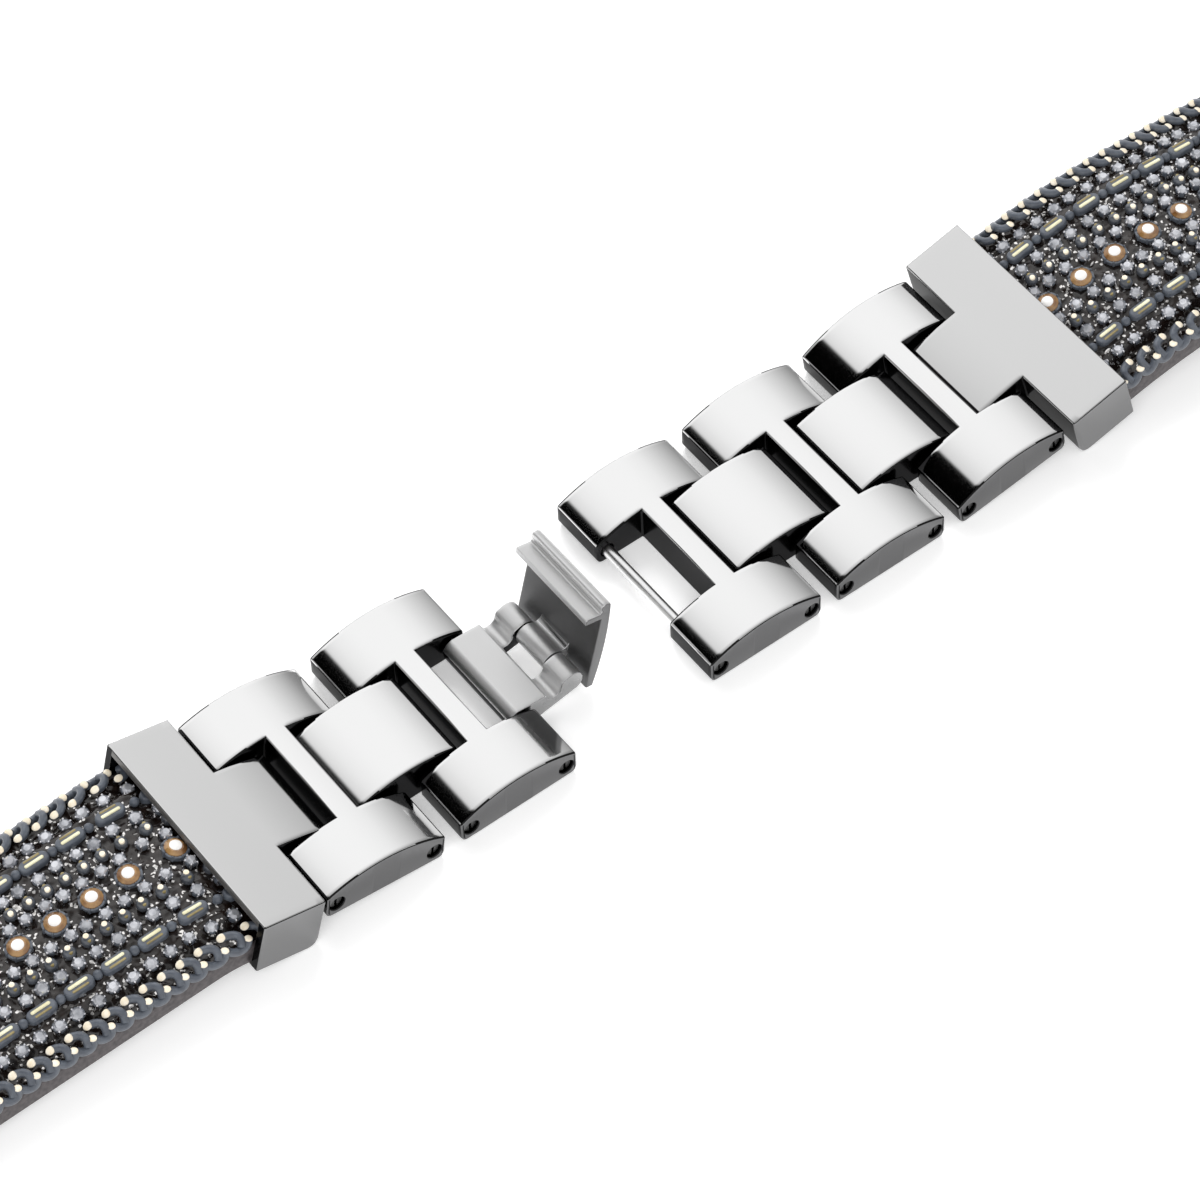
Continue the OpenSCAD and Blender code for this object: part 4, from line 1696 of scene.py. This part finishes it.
@dataclass
class Stones(StrapPart):
    """The stones on a strap, in rows on each side of its middle line.

    A crystal row is given by its distance from the middle line and where one of its stones lies.
    """

    crystal_rows: tuple[Pair, ...] = (
        (1.5 * MM, 0.3 * MM), (3.65 * MM, 0.95 * MM), (6.4 * MM, 0.05 * MM)
    )
    crystal: Turned = Turned(((0.5, 0.05), (1.0, 0.36), (1.0, 0.42), (0.62, 0.60)), 8)
    crystal_cup: Turned = Turned(((0.9, -0.05), (1.14, 0.2), (1.14, 0.36), (1.0, 0.36)), 16)
    crystal_prong: Turned = Turned(((0.10, 0.0), (0.12, 0.38), (0.10, 0.48), (0.04, 0.53)), 8)
    crystal_prongs: int = 5
    crystal_prong_far: float = 1.08
    crystal_radius: Pair = (0.40, 0.45)
    crystal_shift: Pair = (0.1, 0.08)
    crystal_lean: float = 0.2
    baguette_row: float = 5.0 * MM
    baguette_start: float = 1.9 * MM
    baguette: Bar = Bar(0.76, 0.13, ((1.0, 0.42), (1.0, 0.55), (0.6, 0.60)))
    baguette_at: float = 0.10 * MM
    baguette_frame: Bar = Bar(1.16, 0.50, ((1.0, -0.1), (1.0, 0.26), (0.9, 0.42), (0.68, 0.5)))
    baguette_shade: Bar = Bar(0.66, 0.09, ((1.0, 0.34), (1.0, 0.50), (0.6, 0.53)))
    baguette_shade_at: float = 0.28 * MM
    ball: Turned = Turned(round_profile(0.36, 0.16, -30, 14, 9), 18)
    ball_bar: Bar = Bar(0.40, 0.13, ((1.0, 0.02), (1.0, 0.20), (0.5, 0.30)))
    round_start: float = 0.46 * MM
    cabochon: Turned = Turned(((0.6, 0.1), (0.82, 0.34), (0.80, 0.44), (0.56, 0.62)), 16)
    cabochon_white: Turned = Turned(((0.46, 0.60), (0.44, 0.66), (0.28, 0.72), (0.08, 0.74)), 20)
    cabochon_ring: Turned = Turned(((0.9, -0.05), (0.98, 0.2), (0.96, 0.36), (0.84, 0.38)), 28)
    cabochon_prong: Turned = Turned(((0.10, 0.0), (0.11, 0.40), (0.08, 0.48), (0.03, 0.52)), 8)
    cabochon_prongs: int = 8
    cabochon_prong_far: float = 0.92 * MM
    bead_row: float = 2.5 * MM
    bead_start: float = 0.98 * MM
    bead: Turned = Turned(round_profile(0.5, 0.22, -25, 13, 8), 20)
    bead_dot: Turned = Turned(((0.22, 0.60), (0.20, 0.73), (0.08, 0.76)), 14)
    bead_dot_at: Pair = (-0.16 * MM, -0.02 * MM)
    bead_shade: Turned = Turned(((0.15, 0.55), (0.14, 0.70), (0.05, 0.73)), 12)
    bead_shade_at: Pair = (0.24 * MM, -0.06 * MM)

    SEEDS = {Side.LEFT: 7, Side.RIGHT: 11}
    STONE_SHARP = 15.0
    METAL_SHARP = 40.0
    BEAD_SHARP = 50.0

    def _row(self, start: float, step: float) -> list[float]:
        """Finds a row's stones, from inside the cap to the watch end.

        Args:
            start: one stone's distance from the mouth.
            step: the distance between two stones.

        Returns:
            Their distances from the mouth.
        """
        last = self.path.length - self.path.barrel - self.margin
        first = math.ceil((-self.inside / 2 - start) / step)
        return [start + step * k for k in range(first, int((last - start) / step) + 1)]

    def _place(self, s: float, y: float) -> Matrix:
        """Returns the matrix that sets a stone on the bed."""
        return self.path.matrix(s, y, self._bed_top(y))

    @staticmethod
    def _prongs(
        shape: Shape, place: Matrix, form: Turned, far: float, count: int, start: float = 0.0
    ) -> None:
        """Adds the prongs round a stone.

        Args:
            shape: the mesh that they go into.
            place: where the stone stands.
            form: a prong.
            far: their distance from the stone's middle.
            count: how many there are.
            start: the angle of the first one.
        """
        for a in turns(count, start):
            foot = Matrix.Translation((far * math.cos(a), far * math.sin(a), 0.0))
            shape.lathe(place @ foot, form)

    def crystals(self) -> None:
        """Makes the small faceted crystals and their prong cups."""
        stones, cups, prongs = Shape(), Shape(), Shape()
        luck = random.Random(self.SEEDS[self.side])
        shift_s, shift_y = self.crystal_shift
        spots = []
        for row, start in self.crystal_rows:
            for s in self._row(start, self.chain_pitch):
                for flip in FLIPS:
                    along = s + luck.uniform(-shift_s, shift_s) * MM
                    spots.append((along, flip * (row + luck.uniform(-shift_y, shift_y) * MM)))
        for s, y in spots:
            radius = luck.uniform(*self.crystal_radius) * MM
            turn = luck.uniform(0.0, math.pi)
            place = self._place(s, y)
            for axis in "XY":
                lean = luck.uniform(-self.crystal_lean, self.crystal_lean)
                place = place @ Matrix.Rotation(lean, 4, axis)
            stones.lathe(place, self.crystal, radius, turn)
            cups.lathe(place, self.crystal_cup, radius)
            far = radius * self.crystal_prong_far
            self._prongs(prongs, place, self.crystal_prong, far, self.crystal_prongs, turn)
        self._piece(stones, "crystal_stones", Finish.CRYSTAL, self.STONE_SHARP, "crystals")
        self._piece(cups, "crystal_cups", Finish.ENAMEL, self.METAL_SHARP)
        self._piece(prongs, "crystal_prongs", Finish.PRONG, self.METAL_SHARP)

    def baguettes(self) -> None:
        """Makes the long stones in their rounded frames, and the balls that join the frames."""
        stones, frames, shades, balls = Shape(), Shape(), Shape(), Shape()
        cell = 2 * self.chain_pitch
        for s in self._row(self.baguette_start, cell):
            for flip in FLIPS:
                place = self._place(s, flip * self.baguette_row)
                frames.bar(place, self.baguette_frame)
                pale = Matrix.Translation((0.0, -flip * self.baguette_at, 0.0))
                stones.bar(place @ pale, self.baguette)
                shade = Matrix.Translation((0.0, flip * self.baguette_shade_at, 0.0))
                shades.bar(place @ shade, self.baguette_shade)
                between = self._place(s + cell / 2, flip * self.baguette_row)
                balls.lathe(between, self.ball)
                balls.bar(between, self.ball_bar)
        sharp = self.STONE_SHARP
        self._piece(stones, "baguette_stones", Finish.BAGUETTE, sharp, "baguettes", "settings")
        self._piece(frames, "baguette_cups", Finish.ENAMEL, self.METAL_SHARP)
        self._piece(shades, "baguette_shades", Finish.BAGUETTE_SHADE, self.METAL_SHARP)
        self._piece(balls, "baguette_balls", Finish.ENAMEL, self.METAL_SHARP)

    def round_stones(self) -> None:
        """Makes the large round stones with white centres."""
        stones, rings, whites = Shape(), Shape(), Shape()
        for s in self._row(self.round_start, 2 * self.chain_pitch):
            place = self._place(s, 0.0)
            stones.lathe(place, self.cabochon)
            whites.lathe(place, self.cabochon_white)
            rings.lathe(place, self.cabochon_ring)
            far = self.cabochon_prong_far
            self._prongs(rings, place, self.cabochon_prong, far, self.cabochon_prongs)
        self._piece(stones, "cabochon_stones", Finish.BROWN, self.STONE_SHARP, "round_stones")
        self._piece(rings, "cabochon_cups", Finish.ENAMEL, self.METAL_SHARP)
        self._piece(whites, "round_centres", Finish.PEARL, self.METAL_SHARP)

    def beads(self) -> None:
        """Makes the grey beads, each with a pale dot and a darker one."""
        beads, dots, shades = Shape(), Shape(), Shape()
        extras = (
            (dots, self.bead_dot, self.bead_dot_at), (shades, self.bead_shade, self.bead_shade_at)
        )
        for s in self._row(self.bead_start, self.chain_pitch):
            for flip in FLIPS:
                place = self._place(s, flip * self.bead_row)
                beads.lathe(place, self.bead)
                for shape, form, (y, height) in extras:
                    shape.lathe(place @ Matrix.Translation((0.0, flip * y, height)), form)
        self._piece(beads, "bead_stones", Finish.BEAD, self.BEAD_SHARP, "beads")
        self._piece(shades, "bead_shades", Finish.BAGUETTE_SHADE, self.METAL_SHARP)
        self._piece(dots, "bead_dots", Finish.GOLD, self.BEAD_SHARP, slot=Finish.BEAD)

    def build(self) -> None:
        """Makes every row of stones."""
        self.crystals()
        self.baguettes()
        self.round_stones()
        self.beads()


@dataclass
class Clasp:
    """The fold-over clasp: its base about the pivot, and its cover about the hinge."""

    skeleton: Skeleton
    finishes: Finishes
    width: float = 7.9 * MM
    hinge: Pair = (4.45 * MM, -0.165 * MM)
    knuckle: float = 0.885 * MM
    reach: float = 1.1 * MM
    top: float = 1.3 * MM
    low: float = 0.65 * MM
    brow: float = 1.0 * MM
    heel: float = 1.0 * MM
    seat_x: float = 2.85 * MM
    seat: float = 0.6 * MM
    seat_end: float = 0.40 * MM
    shoulder: float = 0.72 * MM
    shoulder_drop: float = 0.1 * MM
    window_x: float = 2.45 * MM
    window: float = 3.42 * MM
    middle: float = 3.2 * MM
    margin: float = 0.3 * MM
    cover_gap: float = 1.2 * MM
    cover_width: float = 8.2 * MM
    cover_thickness: float = 0.6 * MM
    cover_arch: float = 30.0 * MM
    cover_length: float = 7.25 * MM
    cover_tail: float = 1.1 * MM
    ledge_x: float = 5.86 * MM
    ledge: float = 0.5 * MM
    ledge_height: float = 1.4 * MM
    tip_round: float = 0.26 * MM
    fillet_start: float = 155.0
    fillet_end: float = 6.0
    flank_start: float = 50.0
    web: float = 0.95 * MM
    overlap: float = 0.1 * MM
    bead: Point = (0.44 * MM, 0.16 * MM, 0.16 * MM)
    bevel: float = 0.09 * MM

    STEP = 1e-9
    JUST_BEFORE = 1e-7
    KNUCKLE_STEPS = 36
    FILLET_STEPS = 12
    FLANK_SHARES = (0.35, 0.7, 1.0)
    SHARP_ABOVE = 50.0
    LITTLE = 0.3
    DOWNWARD = 0.85
    # The satin steel, then its painted shade on outer sides, and a darker painted shade within.
    BASE_LOOKS = (Finish.SATIN, Finish.SATIN_SIDE_PAINTED_SHADE, Finish.INNER)
    COVER_LOOKS = (Finish.SATIN, Finish.SATIN_SIDE_PAINTED_SHADE, Finish.SATIN_PAINTED_SHADE)

    @property
    def tilt(self) -> float:
        """The tilt at which the base lies, from the places of its two hinges.

        Returns:
            The angle in radians, with the cover's end up.
        """
        pivot, hinge = (self.skeleton.hinges[f"clasp_{name}_hinge"] for name in ("base", "cover"))
        drawn = math.atan2(self.hinge[1], self.hinge[0])
        return math.atan2(hinge.z - pivot.z, hinge.x - pivot.x) - drawn

    def _base_top(self, x: float) -> float:
        """Finds the height of the base's top.

        Args:
            x: the distance from the pivot.

        Returns:
            The height above the pivot.
        """
        brow, edge = self.brow - self.reach, self.seat_x - self.seat
        if x < brow:
            return self.top - self.brow + chord(self.brow, x - brow)
        if x <= edge:
            return self.top + (self.low - self.top) * (x - brow) / (edge - brow)
        seat = self.low - self.seat / 2
        foot, shoulder = self.seat_x + self.seat_end, self.hinge[0] - self.shoulder
        if x <= foot:
            return seat - chord(self.seat, x - self.seat_x)
        crest = self.hinge[1] + self.knuckle
        if x <= shoulder:
            start = seat - chord(self.seat, foot - self.seat_x)
            share = ease((x - foot) / (shoulder - foot))
            return start + (crest - self.shoulder_drop - start) * share
        if x <= self.hinge[0]:
            return crest - self.shoulder_drop * ((self.hinge[0] - x) / self.shoulder) ** 2
        return self.hinge[1] + chord(self.knuckle, x - self.hinge[0])

    def _base_bottom(self, x: float) -> float:
        """Finds the height of the base's underside.

        Args:
            x: the distance from the pivot.

        Returns:
            The height above the pivot.
        """
        floor = self.hinge[1] - self.knuckle
        heel = self.heel - self.reach
        if x < heel:
            return floor + rounding(self.heel, heel - x)
        if x <= self.hinge[0]:
            return floor
        return self.hinge[1] - chord(self.knuckle, x - self.hinge[0])

    def base(self) -> None:
        """Makes the base with its seat for the bar and its two outer knuckles."""
        edge = self.seat_x - self.seat
        ends = (
            -self.reach, self.brow - self.reach, edge, self.window_x, self.hinge[0],
            self.hinge[0] + self.knuckle,
        )
        stations = []
        for x in stretches(ends, self.bevel * BEVEL_ROOM):
            tops = [self._base_top(x)]
            if abs(x - edge) < self.STEP:
                tops = [self.low, self.low - self.seat / 2]
            stations += [Station(x, top, self._base_bottom(x)) for top in tops]
        half, gap = self.width / 2, self.window / 2
        base = slab(
            "clasp_steel_base",
            stations,
            either_way(0.0, gap, gap + self.margin, half - self.margin, half),
            lambda x, y: x < self.window_x or abs(y) > gap,
            self.bevel,
        )
        smooth(base, self.SHARP_ABOVE)
        self.finishes.dress(base, *self.BASE_LOOKS, rule=self._base_look)
        pivot = self.skeleton.hinges["clasp_base_hinge"]
        pose = Pose(pivot.x, pivot.z, self.tilt)
        settle(base, pose, Side.LEFT, "clasp_base", Finish.SATIN, "clasp_base")

    def _cover_bottom(self, x: float) -> float:
        """Finds the height of the cover's inner face.

        Args:
            x: the distance from its hinge.

        Returns:
            The height above the hinge.
        """
        outer = -self.ledge_x - self.ledge
        half, drop, rise = self.bead
        middle = half - self.cover_length
        if x < middle:
            return self.cover_gap - drop + rise * rounding(1.0, (middle - x) / half)
        if x < outer:
            wave = math.sin(math.pi * (x - middle) / (outer - middle)) ** 2
            return self.cover_gap - drop + rise * wave
        return self.cover_gap

    def _plate(self) -> Piece:
        """Makes the cover's plate with its ledge and its bead.

        Returns:
            The plate.
        """
        long = self.cover_length + self.cover_tail
        middle = self.cover_tail - long / 2
        low = self.cover_gap + self.cover_thickness - chord(self.cover_arch, long / 2)
        inner, outer = -self.ledge_x, -self.ledge_x - self.ledge
        foot = self.cover_gap - self.ledge_height
        ends = (-self.cover_length, inner, outer, self.cover_tail)
        stations = []
        for x in stretches(ends, self.bevel * BEVEL_ROOM):
            top = low + chord(self.cover_arch, x - middle)
            top -= rounding(self.tip_round, self.tip_round - self.cover_length - x)
            if abs(x - outer) < self.STEP:
                bottoms = [self._cover_bottom(x - self.JUST_BEFORE), foot]
            elif abs(x - inner) < self.STEP:
                bottoms = [foot, self.cover_gap]
            else:
                bottoms = [foot if outer < x < inner else self._cover_bottom(x)]
            stations += [Station(x, top, bottom) for bottom in bottoms]
        half = self.cover_width / 2
        lines = either_way(half - self.margin, half)
        return slab("clasp_steel_cover", stations, lines, lambda x, y: True, self.bevel)

    def _middle_knuckle(self) -> Piece:
        """Makes the cover's knuckle, which runs into the plate by a hollow fillet.

        Returns:
            The knuckle.
        """
        wide = self.cover_gap + self.overlap
        lean = math.radians(self.fillet_start)
        fillet = (self.cover_gap - self.knuckle * math.sin(lean)) / (1 + math.sin(lean))
        centre = ((self.knuckle + fillet) * math.cos(lean), self.cover_gap - fillet)
        first = self.fillet_start - 360
        outline = arc((0.0, 0.0), self.knuckle, first, self.flank_start, self.KNUCKLE_STEPS)
        x, z = outline[-1]
        outline += [
            (x + (self.web - x) * u * u, z + (wide - z) * u) for u in self.FLANK_SHARES
        ]
        outline.append((centre[0], wide))
        last = self.fillet_start - 180 + self.fillet_end
        outline += arc(centre, fillet, 90, last, self.FILLET_STEPS)
        return prism("clasp_steel_knuckle", outline, self.middle, self.bevel)

    def cover(self) -> None:
        """Makes the cover and sets it in place."""
        plate, knuckle = self._plate(), self._middle_knuckle()
        hinge = self.skeleton.hinges["clasp_cover_hinge"]
        pose = Pose(hinge.x, hinge.z, self.tilt - self.skeleton.COVER_OPEN)
        for piece, look in ((plate, self._cover_look), (knuckle, self._knuckle_look)):
            smooth(piece, self.SHARP_ABOVE)
            self.finishes.dress(piece, *self.COVER_LOOKS, rule=look)
        settle(plate, pose, Side.LEFT, "clasp_cover", Finish.SATIN, "clasp_cover")
        settle(knuckle, pose, Side.LEFT, "clasp_cover", Finish.SATIN)

    def _base_look(self, face: Face) -> Finish:
        """Tells the base's satin, its outer sides with painted shade and what lies within or faces
        -X, with a darker painted shade, apart.

        Args:
            face: a face of the base.

        Returns:
            Its finish.
        """
        normal, centre = face.normal, face.center
        # Outer sides get painted shade.
        if abs(centre.y) > self.width / 2 - self.bevel and abs(normal.y) > MOSTLY:
            return Finish.SATIN_SIDE_PAINTED_SHADE
        # Window walls and faces turned to -X get a darker painted shade.
        in_window = abs(centre.y) < self.window / 2 + self.bevel
        walls = in_window and centre.x > self.window_x - self.bevel
        within = normal.z < self.LITTLE and (walls or normal.x < -self.LITTLE)
        return Finish.INNER if within else Finish.SATIN

    def _cover_look(self, face: Face) -> Finish:
        """Tells the cover's satin from its darker ends and inner face, which are painted shade.

        Args:
            face: a face of the plate.

        Returns:
            Its finish.
        """
        normal, centre = face.normal, face.center
        inner = normal.z < -MOSTLY and centre.z > self.cover_gap - self.overlap
        # Painted shade on the cover's ends and on its inner face between the ledge and the hinge.
        dark = abs(normal.y) > MOSTLY or (inner and centre.x > -self.ledge_x)
        return Finish.SATIN_PAINTED_SHADE if dark else Finish.SATIN

    def _knuckle_look(self, face: Face) -> Finish:
        """Tells the knuckle's satin from where it runs darker into the plate, which is painted
        shade.

        Args:
            face: a face of the middle knuckle.

        Returns:
            Its finish.
        """
        normal = face.normal
        below = face.center.z < self.knuckle / 2
        if below or abs(normal.y) > MOSTLY or normal.z > -HALFWAY:
            return Finish.SATIN
        # Faces turned down into the plate get a darker painted shade, the rest of that part a
        # lighter one.
        return Finish.SATIN_PAINTED_SHADE if normal.z < -self.DOWNWARD else Finish.SATIN_SIDE_PAINTED_SHADE

    def build(self) -> None:
        """Makes the base and the cover."""
        self.base()
        self.cover()


@dataclass
class SmallSteel:
    """The nodes whose CAD shape is kept: pins, the catch bar and spring bars."""

    finishes: Finishes
    bevel: float = 0.025 * MM

    SEGMENTS = 2

    @staticmethod
    def _finish_of(node: str) -> Finish:
        """Finds the finish of a kept node.

        Args:
            node: its name.

        Returns:
            Its finish, apart from that of its ends, which have painted shade.
        """
        if "catch" in node:
            return Finish.BAR
        return Finish.PIN if "pin" in node else Finish.SATIN

    def build(self) -> None:
        """Softens the edges of the kept nodes and dresses them."""
        for node, obj in frame["nodes"].items():
            if obj.hide_render:
                continue
            own = self._finish_of(node)
            # The end faces get a darker steel as painted shade.
            self.finishes.dress(
                obj, own, Finish.PIN_END_PAINTED_SHADE,
                rule=lambda face: Finish.PIN_END_PAINTED_SHADE if abs(face.normal.y) > MOSTLY else own,
            )
            soften = obj.modifiers.new("soft edges", "BEVEL")
            soften.width = self.bevel
            soften.segments = self.SEGMENTS
            soften.limit_method = "ANGLE"
            soften.angle_limit = SHARP
            LOG.info("%s keeps its CAD shape", node)


@dataclass
class Studio:
    """The floor, the light and the camera.

    A stop of the sky is (cosine of the angle from its bright direction, grey). An edge of its dark
    flag is (axis, where the flag starts, where it is whole), and a lamp is (name, direction from
    the band, size, watts).
    """

    skeleton: Skeleton
    lens: float = 144.1
    sensor: float = 36.0
    clip_start: float = 0.01
    right: Point = (0.7972, -0.6030, -0.0297)
    up: Point = (0.4992, 0.6308, 0.5940)
    back: Point = (-0.3395, -0.4884, 0.8039)
    eye: Point = (-100.68 * MM, -164.69 * MM, 273.78 * MM)
    floor_size: float = 3.0
    floor_depth: float = 0.02 * MM
    floor_grey: float = 0.90
    floor_roughness: float = 0.9
    floor_lift: float = 0.36
    bright: Point = (0.25, 1.20, 0.85)
    sky_stops: tuple[Pair, ...] = (
        (0.0, 0.72), (0.2, 0.66), (0.44, 0.36), (0.54, 0.16), (0.64, 0.32), (0.733, 0.58),
        (0.811, 0.79), (0.856, 0.92), (0.907, 1.0),
    )
    flag: tuple[tuple[str, float, float], ...] = (
        ("X", -0.325, -0.355), ("X", -0.74, -0.70), ("Y", 0.05, 0.15), ("Y", 0.70, 0.61)
    )
    sky_strength: float = 1.12
    lamps: tuple[tuple[str, Point, float, float], ...] = (
        ("soft lamp", (0.35, 0.65, 0.67), 0.35, 3.0),
        ("soft fill", (-0.55, -0.50, 0.67), 0.50, 1.6),
    )
    lamp_far: float = 0.7

    def camera(self) -> None:
        """Sets the camera where the photograph was taken from."""
        link = self.skeleton.links()["h_link_2"]
        data = bpy.data.cameras.new("camera")
        data.lens = self.lens
        data.sensor_width = self.sensor
        data.clip_start = self.clip_start
        camera = bpy.data.objects.new("camera", data)
        turn = Matrix((self.right, self.up, self.back)).transposed().to_4x4()
        place = Vector((link.x, 0.0, link.z)) + Vector(self.eye)
        camera.matrix_world = Matrix.Translation(place) @ turn
        bpy.context.scene.collection.objects.link(camera)
        bpy.context.scene.camera = camera

    def floor(self) -> None:
        """Lays the pale floor."""
        bm = bmesh.new()
        bmesh.ops.create_grid(bm, x_segments=1, y_segments=1, size=self.floor_size)
        floor = mesh_object("floor", bm)
        floor.location.z = -self.floor_depth
        material, graph, shader = start_material("pale floor")
        set_inputs(shader, Base_Color=(*grey(self.floor_grey), 1.0))
        set_inputs(shader, Roughness=self.floor_roughness, Specular_IOR_Level=0.0)
        set_inputs(shader, Emission_Color=(1.0, 1.0, 1.0, 1.0))
        rays = graph.add("ShaderNodeLightPath")
        seen = rays.outputs["Is Camera Ray"]
        for other in ("Is Glossy Ray", "Is Transmission Ray"):
            seen = graph.calculate("MAXIMUM", seen, rays.outputs[other])
        lift = graph.calculate("MULTIPLY", seen, self.floor_lift)
        graph.join(lift, shader.inputs["Emission Strength"])
        floor.data.materials.append(material)

    def sky(self) -> None:
        """Lights the band with a soft sky, brightest high behind it, with a dark flag in it."""
        world = bpy.data.worlds.new("soft sky")
        bpy.context.scene.world = world
        world.use_nodes = True
        graph = NodeGraph(world.node_tree)
        direction = graph.add("ShaderNodeTexCoord").outputs["Generated"]
        toward = graph.add("ShaderNodeVectorMath", operation="DOT_PRODUCT")
        graph.join(direction, toward.inputs[0])
        toward.inputs[1].default_value = Vector(self.bright).normalized()
        shade = graph.ramp(toward.outputs["Value"], self.sky_stops)
        parts = graph.add("ShaderNodeSeparateXYZ")
        graph.join(direction, parts.inputs[0])
        covers = []
        for axis, low, high in self.flag:
            edge = graph.add("ShaderNodeMapRange")
            edge.inputs["From Min"].default_value = low
            edge.inputs["From Max"].default_value = high
            graph.join(parts.outputs[axis], edge.inputs["Value"])
            covers.append(edge.outputs["Result"])
        cover = reduce(lambda a, b: graph.calculate("MULTIPLY", a, b), covers)
        clear = graph.calculate("SUBTRACT", 1.0, cover)
        backdrop = world.node_tree.nodes["Background"]
        graph.join(graph.calculate("MULTIPLY", shade, clear), backdrop.inputs["Color"])
        set_inputs(backdrop, Strength=self.sky_strength)

    def light(self) -> None:
        """Hangs the soft lamp behind the band and the weaker one beside the camera."""
        for name, way, size, watts in self.lamps:
            data = bpy.data.lights.new(name, "AREA")
            data.energy = watts
            data.size = size
            lamp = bpy.data.objects.new(name, data)
            lamp.location = Vector(way).normalized() * self.lamp_far
            lamp.rotation_euler = (-lamp.location).to_track_quat("-Z", "Y").to_euler()
            lamp.visible_glossy = False
            bpy.context.scene.collection.objects.link(lamp)

    def build(self) -> None:
        """Sets up the whole studio."""
        bpy.context.scene.view_settings.view_transform = "Standard"
        self.camera()
        self.floor()
        self.sky()
        self.light()


# The radius at which each half's strap bends at the mouth of its cap.
BENDS = {Side.LEFT: 9.0 * MM, Side.RIGHT: 40.0 * MM}


def write_sizes() -> None:
    bpy.context.view_layer.update()


def main() -> None:
    """Builds the studio and the band."""
    logging.basicConfig(level=logging.INFO, format="%(name)s: %(message)s")
    skeleton = Skeleton()
    Studio(skeleton).build()
    finishes = Finishes()
    Links(skeleton, finishes).build()
    Clasp(skeleton, finishes).build()
    floor = skeleton.links()["h_link_2"].z
    for side, bend in BENDS.items():
        path = StrapPath(side, bend).solve(skeleton, floor)
        EndCap(skeleton, finishes, side).build()
        Strap(skeleton, finishes, side, path).build()
        Stones(skeleton, finishes, side, path).build()
    SmallSteel(finishes).build()
    write_sizes()


if __name__ == "__main__":
    main()
